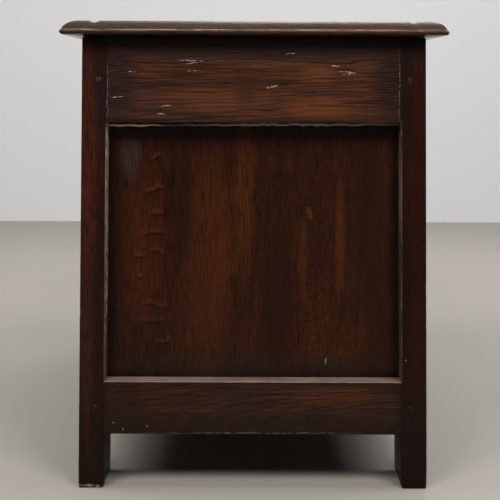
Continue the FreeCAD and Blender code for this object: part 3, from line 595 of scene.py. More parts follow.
def oak_figure():
    """Node group of old oak: rings, pores, rays, grime with painted shade, worn arrises, dust, a painted
    highlight on reveals and painted shade under the lid.
    """
    colors = {key: srgb(*color) for key, color in OAK_COLORS.items()}
    tree = new_group("oak_figure", OAK_OUTPUTS, Vector=OAK_VECTORS, Float=OAK_NUMBERS, Color=colors)
    t = OakTree(tree)
    across, reach = from_pith(t)
    early = early_wood(t, reach)
    pores = t.times(t.step(t.grain("pores", t.streaks), 0.5, 0.6), t.plus(0.65, t.times(early, 0.35)))
    rays = medullary_rays(t, across, reach)
    lines = t.math("MAXIMUM", t.times(early, t["Rings"]), t.times(pores, t["Grain"], 0.75))
    lines = t.math("MAXIMUM", lines, t.times(rays, 0.85))
    tone, color = wood_color(t, lines)
    coordinates = t.add("TexCoord").outputs
    facing = t.split(coordinates["Normal"])[2]
    color, grime_and_shade, dust = aged_color(t, color, facing, t.split(coordinates["Object"])[2])
    underside = t.step(facing, -0.95, -0.7, 1.0, 0.0)
    rough = t.weighted(t.plus(0.33, t.centred(t.broad, 0.25)),
                       (pores, 0.14), (dust, 0.35), (grime_and_shade, 0.1), (underside, -0.2))
    height = t.weighted(t.times(t.fine, 0.35), (pores, -0.7), (early, -0.3), (rays, -0.2), (t.middle, 0.4))
    lightness = t.times(tone, t.minus(1.0, lines))
    t.row(tree.nodes.new("NodeGroupOutput"), color, rough, height, lightness)
    return tree


MARK_NUMBERS = ("Across", "Up", "Centre Across", "Centre Up", "Half", "Width", "Tilt", "Sag")


def mark_shape():
    """Node group: a soft, bent lens about a centre, Half as long and Width as high, each way."""
    tree = new_group("mark_shape", {"Mask": "Float"}, Float=dict.fromkeys(MARK_NUMBERS, 0.0))
    t = Tree(tree)
    given = tree.nodes.new("NodeGroupInput").outputs
    aside = t.minus(given["Across"], given["Centre Across"])
    above = t.minus(given["Up"], given["Centre Up"])
    share = t.over(aside, given["Half"])
    bend = t.times(given["Sag"], t.minus(1.0, t.times(share, share)))
    above = t.minus(t.minus(above, t.times(aside, given["Tilt"])), bend)
    reach = t.vector("LENGTH", t.join(share, t.over(above, given["Width"]), 0.0))
    t.row(tree.nodes.new("NodeGroupOutput"), t.step(reach, 0.35, 1.0, 1.0, 0.0))
    return tree


OAK = oak_figure()
MARK = mark_shape()
WAX_GLOSS = 0.12
SHORTEST_MARK = 0.3 * MM
MARK_DRIFT_SCALE = 75.0
MARK_DRIFT = 5 * MM


def mark(color, strength, start, end, width, sag=0.0, plane=END_X, kind="solid"):
    """A mark on the photographed end, by places and lengths in the camera's frame.

    It is solid, broken up, or a see-through tint (kind "stain"), which leaves the dark grain showing; tints
    serve for stains and for painted shade and sheen.
    """
    first, last = seen_at(*start, plane), seen_at(*end, plane)
    scale = (CAMERA_PLACE[0] - plane) * SENSOR / CAMERA_LENS / FRAME_SIZE
    half = max((last[0] - first[0]) / 2, SHORTEST_MARK)
    tilt = (last[1] - first[1]) / (2 * half)
    centre = ((first[0] + last[0]) / 2, (first[1] + last[1]) / 2)
    return color, strength, kind, (*centre, half, width * scale, tilt, sag * scale)


def patch(color, strength, centre, half_wide, half_high, plane=END_X, kind="stain"):
    """A soft patch of colour about a place in the camera's frame."""
    start, end = (centre[0] - half_wide, centre[1]), (centre[0] + half_wide, centre[1])
    return mark(color, strength, start, end, half_high, plane=plane, kind=kind)


def marked(t, color, position, lightness, marks):
    """The colour with its marks over it, their edges a little unsteady."""
    place = t.split(t.drift(position, MARK_DRIFT_SCALE, MARK_DRIFT))
    share_of = {"broken": t.step(t.noise(position, (190, 190, 190), 3, 0.6), 0.4, 0.54),
                "stain": t.step(lightness, 0.1, 0.6, 0.3, 1.0), "solid": 1.0}
    for mark_color, strength, kind, shape in marks:
        lens = t.add("Group", node_tree=MARK)
        mask = t.row(lens, place[1], place[2], *shape)[0]
        color = t.blend(t.times(mask, strength, share_of[kind]), color, srgb(*mark_color))
    return color


def oak(node, grain, seed, pith=tuple(PITH.values()), marks=(), **looks):
    """Oak for a node. grain names its axes along the grain and across the rings; pith is as in PITH.

    looks are inputs of the oak group, with _ for a space.
    """
    material, t, shader = new_material(node + "_oak")
    position = t.place()
    low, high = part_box(node)
    centred = t.split(t.vector("SUBTRACT", position, tuple((low + high) / 2)))
    depth = next(a for a in AXES if a not in grain)
    board = t.join(*[centred[AXES.index(a)] for a in grain + depth])
    looks = {key: srgb(*value) if isinstance(value, tuple) else value for key, value in looks.items()}
    figure = t.add("Group", node_tree=OAK)
    seed_place = (seed * 1.37 + 4, seed * 2.11 - 7, seed * 0.83 + 2)
    t.fill(figure, Board=board, Seed=seed_place, **dict(zip(PITH, pith)), **looks)
    color = figure.outputs["Color"]
    if marks:
        color = marked(t, color, position, figure.outputs["Lightness"], marks)
    t.fill(shader, Base_Color=color, Roughness=figure.outputs["Roughness"], Specular_IOR_Level=WAX_GLOSS)
    t.relief(shader, figure.outputs["Height"], 0.5, 0.5 * MM)
    return material


# ---- metals
def old_metal(name, deep, bright, rough, metallic, scale):
    """Old metal: bright where it is rubbed, dull and dark in the hollows."""
    material, t, shader = new_material(name)
    position = t.place()
    patina = t.noise(position, (scale,) * 3, 4, 0.62, 0.4)
    spots = t.noise(position, (scale * 6,) * 3, 2)
    color = t.blend(t.step(patina, 0.38, 0.68), deep, bright)
    color = t.blend(t.times(t.step(spots, 0.58, 0.72), 0.55), color, deep)
    roughness = t.step(patina, 0.3, 0.75, rough + 0.18, rough)
    t.fill(shader, Base_Color=color, Metallic=metallic, Roughness=roughness)
    t.relief(shader, t.plus(patina, t.times(spots, 0.4)), 0.35, 0.25 * MM)
    return material


METALS = {
    "iron": old_metal("old_iron", srgb(34, 30, 28), srgb(78, 72, 68), 0.5, 0.75, 70.0),
    "brass": old_metal("old_brass", srgb(70, 52, 26), srgb(176, 138, 74), 0.3, 0.9, 45.0),
}

# ---- marks of age on the photographed end, with painted shade, sheen and highlights among them, by places in the camera's frame
PALE = (150, 132, 120)
GOUGE = (10, 5, 4)
RAY_DARK = (14, 5, 2)
RAY_LIGHT = (84, 44, 20)
RAY_WIDTH = 1.7
RAY_LIGHT_WIDTH = 4.0
RAY_LIGHT_UP = 3.4

# scratches and gouges: start, end and half width; rays: start, end and sag
TOP_RAIL_SCRATCHES = (
    ((176, 60), (206, 61.5), 0.8), ((183, 64.5), (206, 61), 0.8), ((183, 71), (199, 71), 0.7),
    ((127, 72), (137, 72), 0.7), ((283, 53.7), (297, 53.3), 0.9), ((329, 66.3), (341, 66.3), 0.9),
    ((335, 71), (366, 73.3), 0.9), ((340, 75), (360, 72.5), 0.8), ((260, 88.5), (281, 85.5), 1.1),
    ((109, 98), (125, 96), 0.7), ((158, 106), (174, 106), 0.7), ((156, 114), (167, 114), 0.8),
)
TOP_RAIL_GOUGES = (
    ((178, 62.7), (204, 62.2), 1.3), ((333, 69), (362, 71.5), 1.5), ((250, 93), (300, 80), 1.2),
)
PANEL_RAYS = (
    ((149, 164), (165, 155), 1), ((141, 198), (168, 189), 3), ((147, 216), (165, 216), 1.5),
    ((137, 240), (170, 236), 4), ((131, 254), (148, 253), -5), ((146, 254), (167, 258), 4.5),
    ((136, 275), (146, 275), -3.5), ((140, 306), (158, 307), 2), ((152, 304), (172, 305), -4),
    ((136, 320), (169, 320), -3), ((153, 341), (173, 338), -4),
)

# stains, and painted shade and sheen where noted: colour, strength, centre, half width and half height
# the long dark band along the top of the top rail, about (250, 44), is painted shade under the lid
TOP_RAIL_STAINS_AND_SHADE = (
    ((30, 19, 18), 0.95, (114, 82), 32, 56), ((30, 18, 16), 0.9, (250, 44), 240, 20),
    ((26, 11, 7), 0.9, (396, 84), 32, 56), ((112, 62, 30), 0.4, (318, 74), 24, 11),
    ((108, 56, 20), 0.45, (318, 108), 50, 14), ((104, 58, 24), 0.3, (215, 98), 70, 20),
    ((36, 20, 15), 0.6, (245, 88), 16, 26),
)
# on the panel: the grey patch at its upper left is a painted sheen, the dark band along its top is painted
# shadow under the top rail, and the band along its bottom is grime with painted shade
PANEL_STAINS_SHADE_AND_SHEEN = (
    ((58, 46, 43), 0.55, (131, 154), 14, 34), ((34, 23, 20), 0.7, (254, 366), 240, 18),
    ((24, 16, 15), 0.8, (254, 131), 240, 14), ((104, 50, 8), 0.55, (309, 213), 3.5, 9),
    ((92, 46, 12), 0.35, (340, 238), 7, 80), ((78, 37, 9), 0.3, (207, 270), 30, 150),
    ((88, 43, 9), 0.35, (245, 195), 15, 120), ((18, 6, 2), 0.6, (280, 300), 26, 90),
    ((84, 42, 10), 0.35, (303, 262), 6, 60), ((76, 29, 5), 0.45, (148, 250), 30, 120),
    ((20, 7, 3), 0.6, (372, 240), 20, 150), ((24, 9, 4), 0.5, (185, 200), 10, 90),
)
STILE_STAINS = {
    -1: (((80, 32, 13), 0.4, (88, 150), 12, 180), ((24, 15, 13), 0.7, (102, 84), 10, 90),
         ((20, 8, 5), 0.6, (101, 300), 11, 160), ((64, 29, 14), 0.4, (86, 360), 9, 110)),
    1: (((38, 6, 2), 0.75, (419, 240), 13, 290), ((17, 9, 7), 0.85, (406, 100), 13, 120),
        ((14, 4, 3), 0.8, (404, 290), 11, 150), ((18, 9, 7), 0.7, (413, 440), 16, 70)),
}
BOTTOM_RAIL_STAINS = (
    ((24, 16, 15), 0.7, (254, 426), 260, 18), ((24, 13, 9), 0.6, (125, 410), 28, 40),
    ((84, 46, 22), 0.5, (330, 396), 70, 14),
)

# pale lines: colour, strength, start, end and half width
# the two lines along the panel's top are a painted highlight, made bright enough to show in the top rail's
# shadow
PANEL_TOP_HIGHLIGHTS = (
    ((228, 186, 146), 1.0, (80, 125.4), (178, 125.2), 1.4),
    ((150, 138, 132), 1.0, (128, 125.2), (450, 124.8), 1.4),
)
BOTTOM_RAIL_EDGE = ((96, 80, 72), 0.7, (90, 433), (410, 433.5), 1.0)
CHIPPED_FOOT = ((170, 146, 124), 0.9, (76, 485.5), (106, 486.5), 2.0)

# pale spots and upright lines: colour, strength, centre, half width and half height
RAIL_JOINTS = tuple(((104, 96, 92), 0.7, (right, 86), 0.5, 50) for right in (107.4, 399.6))
PANEL_SCRATCH = ((150, 132, 120), 0.7, (326, 361), 0.8, 5)
STILE_ARRIS = tuple(((176, 162, 150), 0.9, place, 1.1, 80)
                    for place in ((107.0, 170), (106.6, 245), (106.2, 320)))
LID_TICKS = tuple((GOUGE, 0.75, place, 0.7, 4) for place in ((131, 28), (220, 29), (375, 28)))
BOTTOM_RAIL_NICKS = ((113.8, 423), (123, 429), (147, 426))
STILE_NICKS = ((405.7, 360.7),)
NICK = 1.1


def patches(table, plane=END_X, kind="stain"):
    return [patch(*row, plane, kind) for row in table]


def nicks(places):
    return [patch(PALE, 0.6, place, NICK, NICK, kind="solid") for place in places]


def top_rail_marks():
    marks = patches(TOP_RAIL_STAINS_AND_SHADE)
    marks += [mark(GOUGE, 0.8, *row) for row in TOP_RAIL_GOUGES]
    marks += [mark(PALE, 0.9, *row, kind="broken") for row in TOP_RAIL_SCRATCHES]
    return marks + patches(RAIL_JOINTS, kind="broken")


def panel_marks():
    marks = patches(PANEL_STAINS_SHADE_AND_SHEEN, PANEL_X)
    for start, end, sag in PANEL_RAYS:
        light = [(right, down - RAY_LIGHT_UP) for right, down in (start, end)]
        marks.append(mark(RAY_LIGHT, 0.45, *light, RAY_LIGHT_WIDTH, sag, PANEL_X, "stain"))
        marks.append(mark(RAY_DARK, 0.85, start, end, RAY_WIDTH, sag, PANEL_X))
    marks += [mark(*row, plane=PANEL_X) for row in PANEL_TOP_HIGHLIGHTS]
    return marks + [patch(*PANEL_SCRATCH, PANEL_X, "solid")]


def bottom_rail_marks():
    return patches(BOTTOM_RAIL_STAINS) + nicks(BOTTOM_RAIL_NICKS) + [mark(*BOTTOM_RAIL_EDGE, kind="broken")]


def stile_marks(face):
    marks = patches(STILE_STAINS[face])
    if face > 0:
        return marks + nicks(STILE_NICKS)
    return marks + [mark(*CHIPPED_FOOT, kind="broken")] + patches(STILE_ARRIS, kind="solid")


# ---- end frames
END_RAIL_LOOKS = dict(Rings=0.9, Wear=0.8, Dust=0.85, Warmth=0.75, Haze=0.35, Grain=0.8, Grain_Length=3.2)

# part, wear, marks, the pith's place across and its skew, and looks
END_RAILS = (
    ("bottom", 1.0, bottom_rail_marks, -0.03, 0.1,
     dict(END_RAIL_LOOKS, Dark=(14, 6, 4), Light=(64, 36, 22), Warm=(72, 36, 15), Ring_Gap=0.0036)),
    ("top", 0.1, top_rail_marks, -0.1, 0.03,
     dict(END_RAIL_LOOKS, Dark=(15, 6, 4), Light=(78, 44, 29), Warm=(92, 47, 17), Ring_Gap=0.0048)),
)
PANEL_SHAPE = dict(radius=PANEL_ROUND, chip=0.2, swell=0.5)
# the panel's border grime carries painted shade where it lies back behind the frame
END_PANEL_LOOKS = dict(
    Dark=(12, 3, 1), Light=(54, 24, 7), Warm=(72, 32, 6), Haze_Color=(36, 20, 14), Ring_Gap=0.0025,
    Rings=0.6, Rays=0.6, Grain=0.8, Wear=0.0, Dust=0.0, Grime=0.85, Grime_Width=0.022, Warmth=0.8,
    Haze=0.15,
)
# the stiles' inner sides carry a pale painted highlight
STILE_LOOKS = dict(
    Dark=(11, 4, 2), Light=(52, 24, 14), Warm=(66, 24, 8), Worn=(92, 66, 52), Haze_Color=(36, 24, 21),
    Reveal_Color=(146, 112, 86), Reveal=0.85, Wear=0.25, Grime=0.35, Grime_Width=0.01, Low_Dark=0.6,
)
RAILS = {"end": ("bottom", "top"), "front": ("bottom", "middle", "top"), "back": ("bottom", "top")}


def end_frames():
    for name, side in SIDES:
        x = sorted((side * (END_X - RAIL_SET_BACK), side * END_FRAME_X))
        y = STILE_Y + SHOULDER_LAP
        *rail_seeds, panel_seed = END_SEEDS[name]
        for seed, (part, wear, marks, across, skew, looks) in zip(rail_seeds, END_RAILS):
            node = "end_%s_rail_%s" % (part, name)
            low, high = levels(node)
            worn_board(node, (x[0], -y, low), (x[1], y, high), seed, "yz", (across, -0.05 * side, skew),
                       looks, marks() if side > 0 else (), rubbed=(0, 0, 1), wear=wear)
        node = "end_panel_" + name
        low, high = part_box(node)
        worn_board(node, low, high, panel_seed, "zy", (0.081 * side, -0.05 * side, 0.22 * side),
                   END_PANEL_LOOKS, panel_marks() if side > 0 else (), hidden=high.y - STILE_Y, **PANEL_SHAPE)


def stiles():
    for face_name, face in FACES:
        for name, side in SIDES:
            joints = [("z", *levels("end_%s_rail_%s" % (part, name)), "y", face * STILE_Y)
                      for part in RAILS["end"]]
            joints += [("z", *levels("%s_%s_rail" % (face_name, part)), "x", side * STILE_X)
                       for part in RAILS[face_name]]
            node = "stile_%s_%s" % (face_name, name)
            worn_board(node, *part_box(node), STILE_SEED + 5 * side + 3 * face, "zx",
                       (0.03 * side, -0.05 * face, 0.1), STILE_LOOKS, stile_marks(face) if side > 0 else (),
                       radius=STILE_ROUND, chip=1.2, swell=0.3, foot=2.6, reveal=(0, -face, 0), joints=joints,
                       wear=0.8)


# ---- front and back: node, face, and the muntins or rails below and above it
LONG_RAILS = (
    ("front_bottom_rail", -1, (), ("drawer_muntin",)),
    ("front_middle_rail", -1, ("drawer_muntin",), ("front_muntin_left", "front_muntin_right")),
    ("back_bottom_rail", 1, (), ("back_muntin",)),
    ("back_top_rail", 1, ("back_muntin",), ()),
)
MUNTINS = (
    ("front_muntin_left", -1, "front_middle_rail", "front_top_rail"),
    ("front_muntin_right", -1, "front_middle_rail", "front_top_rail"),
    ("drawer_muntin", -1, "front_bottom_rail", "front_middle_rail"),
    ("back_muntin", 1, "back_bottom_rail", "back_top_rail"),
)
LONG_PANELS = (
    ("front_panel_left", -1), ("front_panel_middle", -1), ("front_panel_right", -1),
    ("back_panel_left", 1), ("back_panel_right", 1),
)
LONG_PANEL_LOOKS = dict(
    Dark=(14, 4, 2), Light=(62, 30, 12), Warm=(78, 36, 9), Ring_Gap=0.0042, Rays=0.6, Grime=0.8,
    Grime_Width=0.02, Dust=0.0, Wear=0.0, Warmth=0.7,
)
LONG_GROOVE = 8 * MM
DRAWER_LOOKS = dict(Light=(72, 41, 26), Warm=(86, 44, 18), Rings=0.65, Wear=0.7, Warmth=0.7)


def muntin_joints(muntins, level):
    boxes = [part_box(name) for name in muntins]
    return [("x", low.x, high.x, "z", level) for low, high in boxes]


def long_rails():
    inside = STILE_X + SHOULDER_LAP
    for seed, (node, face, below, above) in enumerate(LONG_RAILS, LONG_RAIL_SEED):
        y = sorted((face * RAIL_BACK_Y, face * (HALF_DEPTH - RAIL_SET_BACK)))
        low, high = levels(node)
        joints = muntin_joints(below, low) + muntin_joints(above, high)
        worn_board(node, (-inside, y[0], low), (inside, y[1], high), seed, "xz", (0.04, 0.06 * face, 0.06),
                   dict(Rings=0.6, Wear=0.6), joints=joints, rubbed=(0, 0, 1), wear=0.8)


def muntins():
    for seed, (node, face, below, above) in enumerate(MUNTINS, MUNTIN_SEED):
        low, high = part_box(node)
        y = sorted((face * RAIL_BACK_Y, face * (HALF_DEPTH - 2 * RAIL_SET_BACK)))
        z = levels(below)[1] - SHOULDER_LAP, levels(above)[0] + SHOULDER_LAP
        worn_board(node, (low.x, y[0], z[0]), (high.x, y[1], z[1]), seed, "zx", (0.02, 0.05 * face, 0.08),
                   dict(Wear=0.5), wear=0.8)


def long_panels():
    for index, (node, face) in enumerate(LONG_PANELS):
        pith = (0.05 - 0.03 * index, -0.06 * face, 0.2 * face)
        worn_board(node, *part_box(node), PANEL_SEED + index, "zx", pith, LONG_PANEL_LOOKS, hidden=LONG_GROOVE,
                   **PANEL_SHAPE)


def drawer_fronts():
    """Set in by a hair at each end, where the dovetails of the sides show."""
    set_in = Vector((DRAWER_SET_IN, 0, 0))
    for seed, (name, _) in enumerate(SIDES, DRAWER_SEED):
        node = "drawer_%s_front" % name
        low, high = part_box(node)
        worn_board(node, low + set_in, high - set_in, seed, "xz", (-0.03, 0.06, 0.1), DRAWER_LOOKS,
                   body="drawer_" + name, wear=0.9)


# ---- pegs
def solid_boxes(node):
    """Lowest and highest corners of each separate solid of a node."""
    mesh = nodes[node].data
    points = np.array([vertex.co for vertex in mesh.vertices])
    spot = np.unique(points.round(6), axis=0, return_inverse=True)[1].ravel()
    ends = spot[[tuple(edge.vertices) for edge in mesh.edges]]
    solid = np.arange(spot.max() + 1)
    while (solid[ends[:, 0]] != solid[ends[:, 1]]).any():
        for end in ends.T:
            np.minimum.at(solid, end, solid[ends].min(1))
    groups = [points[solid[spot] == each] for each in np.unique(solid)]
    return sorted([(group.min(0), group.max(0)) for group in groups], key=lambda box: tuple(box[0]))


PEG_TURNS = 16

# rings of a head: how far behind its tip in mm, share of the radius, and how worn
PEG_ROWS = ((-8.0, 1.0, 0.3), (-0.9, 1.0, 0.3), (-0.55, 0.97, 0.8), (-0.15, 0.82, 0.7), (0.0, 0.45, 0.2))
PEG_HEAD_FROM = -1
PEG_UNEVEN = 0.08
PEG_SQUARE = 0.05
PEG_SHRINK = 0.04
PEG_TILT = 0.3
PEG_SET_BACK = 0.15
PEG_RIM_SHARE = 0.96
CLEAR_OF_BORDER = 0.05


def peg_head(index, low, high):
    """Rows of x, y, z, wear and distance from the border, and whether the head's faces turn over."""
    centre, size = (low + high) / 2, high - low
    axis = int(np.argmax(size))
    sign = 1 if centre[axis] > 0 else -1
    tip = max(abs(low[axis]), abs(high[axis])) * sign
    radius = min(size) / 2
    across, up = [i for i in range(3) if i != axis]
    rows = []
    for back, share, rim in PEG_ROWS:
        for turn in range(PEG_TURNS):
            angle = math.tau * turn / PEG_TURNS
            uneven = 1 + PEG_UNEVEN * noise.noise(Vector((math.cos(angle), math.sin(angle), index * 1.7)))
            uneven = uneven * (1 - PEG_SQUARE * math.cos(4 * angle + index)) - PEG_SHRINK
            tilt = PEG_TILT * share * math.cos(angle + index * 2.3) if back > PEG_HEAD_FROM else 0
            place = np.zeros(3)
            place[axis] = tip + sign * min(back + tilt - PEG_SET_BACK, 0.0) * MM
            place[across] = centre[across] + radius * share * uneven * math.cos(angle)
            place[up] = centre[up] + radius * share * uneven * math.sin(angle)
            arris = rim * (0.55 + 0.45 * math.cos(angle + index))
            rows.append([*place, arris, 0.0 if share > PEG_RIM_SHARE else CLEAR_OF_BORDER])
    return rows, (sign > 0) == (axis == 1)


def peg_faces(start, turned):
    rows = [list(range(start + r * PEG_TURNS, start + (r + 1) * PEG_TURNS)) for r in range(len(PEG_ROWS))]
    rings = [[a, b, d, c] for near, far in zip(rows, rows[1:])
             for a, b, c, d in zip(near, near[1:] + near[:1], far, far[1:] + far[:1])]
    faces = rings + [rows[-1], rows[0][::-1]]
    return [face[::-1] for face in faces] if turned else faces


def peg_heads():
    """Riven peg ends standing a little proud of the frame, none of them quite round."""
    rows, faces = [], []
    for index, (low, high) in enumerate(solid_boxes("frame_pegs")):
        head, turned = peg_head(index, low, high)
        faces += peg_faces(len(rows), turned)
        rows += head
    table = np.array(rows)
    material = oak("frame_pegs", "xy", PEG_SEED, Light=(50, 28, 19), Dark=(13, 6, 4), Wear=0.5,
                   Ring_Gap=0.0012, Grime=0.9, Dust=0.0, Low_Dark=0.4)
    make_piece("frame_peg_heads", "frame_pegs", leaned(table[:, :3]), faces,
               {"arris": table[:, 3], "border": table[:, 4]}, "carcass", material)


# ---- lid
def arc_height(run, first, second, third):
    """Height at run on the circle through three points of the moulding."""
    (ax, ay), (bx, by), (cx, cy) = first, second, third
    d = 2 * (ax * (by - cy) + bx * (cy - ay) + cx * (ay - by))
    a2, b2, c2 = ax * ax + ay * ay, bx * bx + by * by, cx * cx + cy * cy
    ux = (a2 * (by - cy) + b2 * (cy - ay) + c2 * (ay - by)) / d
    uy = (a2 * (cx - bx) + b2 * (ax - cx) + c2 * (bx - ax)) / d
    rise = np.sqrt(np.maximum((ax - ux) ** 2 + (ay - uy) ** 2 - (run - ux) ** 2, 0))
    return uy + rise if by > uy else uy - rise


def lid_top(run):
    """Thumbnail moulding up from the nose, then the groove, then the flat top."""
    thick = LID_TOP - LID_LOW
    groove_mid = (CROWN_RUN + GROOVE_RUN) / 2
    thumb = arc_height(run, (NOSE_IN, NOSE_HIGH), THUMB_MID, (THUMB_RUN, thick))
    groove = arc_height(run, (CROWN_RUN, thick), (groove_mid, thick - GROOVE_DEEP), (GROOVE_RUN, thick))
    top = np.where(run < THUMB_RUN, thumb, thick)
    return np.where((run > CROWN_RUN) & (run < GROOVE_RUN), groove, top)


def lid_bottom(run):
    """The bevel up to the nose, and the underside, where the irons let into it stand a hair proud."""
    bevel = np.clip((BEVEL_RUN - run) / (BEVEL_RUN - NOSE_IN), 0, 1)
    return IRON_PROUD + (NOSE_LOW - IRON_PROUD) * bevel


# grid lines of a lid piece, in mm from a moulded side and from one that butts on its neighbour
MOULDING_STOPS = (NOSE_IN / MM, 3.6, 5.5, 8.5, 12, 16, 20, 24, 26, 28, 30, 36, 40,
                  42, 43.2, 45, 47, 49, 51, 53, 54.8, 56, 59)
SEAM_STOPS = (0.0, 0.35, 1.0)
LID_GRID_STEP = 10 * MM
LID_SEAM = 0.15 * MM

# wear of the lid: noise scales a metre, wear in mm, and half widths of the rubbed crowns and lip
LID_NICK_SCALE = 48
LID_WAVE_SCALE = 5
NOSE_EVEN_WEAR = 0.25
NOSE_NICK = 1.1
CROWN_NICK = 0.5
UNDER_NICK = 0.8
WAVE_DEEP = 0.35
CROWN_HALF = 3 * MM
LIP_HALF = 1.5 * MM
LIP_DROP = 0.7 * MM
CROWN_WEAR = 0.45
TOP_FROM = 0.9
UNDER_TO = 0.1


def round_corners(x, y):
    """The lid's corners, worn round in plan."""
    over = np.stack([np.abs(x) - LID_END, np.abs(y) - LID_SIDE], 1) / CORNER_ROUND + 1
    reach = np.maximum(np.linalg.norm(over, axis=1), 0.1)
    share = np.where((over > 0).all(1), over.max(1) / reach, 1)
    kept = (1 - over * (1 - share)[:, None] * CORNER_ROUND / np.stack([np.abs(x) + MM, np.abs(y) + MM], 1)).T
    return x * kept[0], y * kept[1]


def lid_lines(low, high, moulded):
    """Grid lines across a lid piece, close together in the moulding and at a seam."""
    near = [low + s * MM for s in (MOULDING_STOPS if moulded[0] else SEAM_STOPS)]
    far = [high - s * MM for s in reversed(MOULDING_STOPS if moulded[1] else SEAM_STOPS)]
    return grid_lines(near, far, LID_GRID_STEP)


def outward(place, last, moulded):
    """1 or -1 on a moulded side of the piece, the way it faces, and 0 elsewhere."""
    return (place == last) * float(moulded[1]) - (place == 0) * float(moulded[0])


def ridge(distance, half):
    return np.exp(-(distance / half) ** 2)


def lid_piece(node, low, high, moulded, seed, grain, pith, marks=()):
    """A lid board or cleat. moulded says which of its -X, +X, -Y, +Y sides are edges of the lid."""
    xs = lid_lines(low[0], high[0], moulded[:2])
    ys = lid_lines(low[1], high[1], moulded[2:])
    points, place, quads = lattice(xs, ys, NOSE_ROWS)
    x, y, level = points.T
    side_run = LID_SIDE - np.abs(y)
    run = np.minimum(LID_END - np.abs(x), side_run)
    through = (side_run > CROWN_RUN) & (side_run < GROOVE_RUN)
    top = np.where(through, np.minimum(lid_top(run), lid_top(side_run)), lid_top(run))
    bottom = lid_bottom(run)
    x, y = round_corners(x, y)
    push = np.interp(level, NOSE_ROWS, NOSE_PUSH) * NOSE_IN
    push_x = outward(place[:, 0], len(xs) - 1, moulded[:2])
    push_y = outward(place[:, 1], len(ys) - 1, moulded[2:])
    solid = np.stack([x + push * push_x, y + push * push_y, LID_LOW + bottom + (top - bottom) * level], 1)
    nose = 1 - smooth(run, NOSE_IN, NOSE_IN + NOSE_FADE)
    crown = (ridge(run - CROWN_RUN, CROWN_HALF) + ridge(run - GROOVE_RUN, CROWN_HALF)) * (level > TOP_FROM)
    nicked = smooth(field(solid, LID_NICK_SCALE, seed, 3), 0.1, 0.7)
    inward = np.stack([-push_x, -push_y, np.zeros(len(x))], 1)
    solid = solid + inward * ((NOSE_EVEN_WEAR + NOSE_NICK * nicked) * nose * MM)[:, None]
    wave = np.maximum(field(solid, LID_WAVE_SCALE, seed + 2), 0) * WAVE_DEEP * MM
    solid[:, 2] -= (level > TOP_FROM) * (wave + nicked * crown * CROWN_NICK * MM)
    solid[:, 2] += (level < UNDER_TO) * np.maximum(nicked - 0.3, 0) * nose * UNDER_NICK * MM
    lip = ridge(solid[:, 2] - LID_LOW - NOSE_HIGH + LIP_DROP, LIP_HALF) * nose
    layers = {"arris": np.maximum(lip, crown * CROWN_WEAR), "border": np.full(len(x), CLEAR_OF_BORDER)}
    material = oak(node, grain, seed, pith, marks, **LID_LOOKS)
    make_piece(node + "_wood", node, solid, quads, layers, "lid", material)


LID_LOOKS = dict(
    Dark=(20, 10, 7), Light=(68, 46, 36), Warm=(76, 44, 27), Worn=(140, 122, 112), Haze_Color=(54, 44, 41),
    Dust_Color=(92, 76, 66), Wear=0.9, Grime=0.0, Warmth=0.45, Dust=0.06, Rings=0.65, Grain_Length=1.8,
)


def lid():
    for seed, (name, side) in enumerate(SIDES, CLEAT_SEED):
        x = sorted((side * (CLEAT_X + LID_SEAM), side * LID_END))
        moulded = (side < 0, side > 0, True, True)
        lid_piece("lid_cleat_" + name, (x[0], -LID_SIDE), (x[1], LID_SIDE), moulded, seed, "yx",
                  (0.06, -0.05, 0.05), patches(LID_TICKS, LID_END, "solid") if side > 0 else ())
    for seed, (name, face) in enumerate(FACES, LID_BOARD_SEED):
        y = sorted((face * LID_SEAM, face * LID_SIDE))
        moulded = (False, False, face < 0, face > 0)
        lid_piece("lid_%s_board" % name, (-CLEAT_X, y[0]), (CLEAT_X, y[1]), moulded, seed, "xy",
                  (0.05 * face, -0.07, 0.03))


# ---- CAD pieces that keep their shape
METAL_EASED = 0.3 * MM
WOOD_EASED = 0.6 * MM
EASED_ANGLE = math.radians(35)
PLAIN_OAK = dict(
    Dark=(84, 62, 42), Light=(158, 128, 94), Warm=(150, 108, 68), Worn=(178, 152, 120),
    Haze_Color=(120, 104, 84), Dust_Color=(150, 132, 108), Haze=0.2, Wear=0.3, Dust=0.25, Warmth=0.4,
    Rings=0.4,
)


def finish_node(name, material, bevel):
    """A CAD node's material and its eased edges."""
    piece = nodes[name]
    piece.data.materials.clear()
    piece.data.materials.append(material)
    modifier = piece.modifiers.new("eased_edges", "BEVEL")
    modifier.width = bevel
    modifier.segments = 2
    modifier.limit_method = "ANGLE"
    modifier.angle_limit = EASED_ANGLE


def kept_nodes():
    slot_of = {row["node"]: row["material_slot"] for row in frame["record"]["subparts"]}
    for seed, (name, piece) in enumerate(sorted(nodes.items()), KEPT_SEED):
        if piece.hide_render:
            continue
        slot = slot_of[name]
        if slot in METALS:
            finish_node(name, METALS[slot], METAL_EASED)
            continue
        low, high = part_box(name)
        longest = sorted(range(3), key=lambda i: low[i] - high[i])
        grain = "yx" if name == "box_floor_boards" else AXES[longest[0]] + AXES[longest[1]]
        looks = PLAIN_OAK if slot == "plain_oak" else {}
        finish_node(name, oak(name, grain, seed, **looks, Grime=0.0), WOOD_EASED)


# ---- stage, lights and camera
FLOOR_COLOR = srgb(145, 140, 133)
WALL_COLOR = srgb(206, 206, 206)
AMBIENT_STRENGTH = 0.06
REFLECTED_STRENGTH = 0.25
FLOOR_REACH = 14.0
WALL_X = -2.95
WALL_HALF = 7.0
WALL_HIGH = 5.0
FLOOR_LIT = 1.8
WALL_LIT = 3.6
UNLIT_SHARE = 2.5
PAINT_GLOSS = 0.15
BLACK = (0.0, 0.0, 0.0, 1.0)

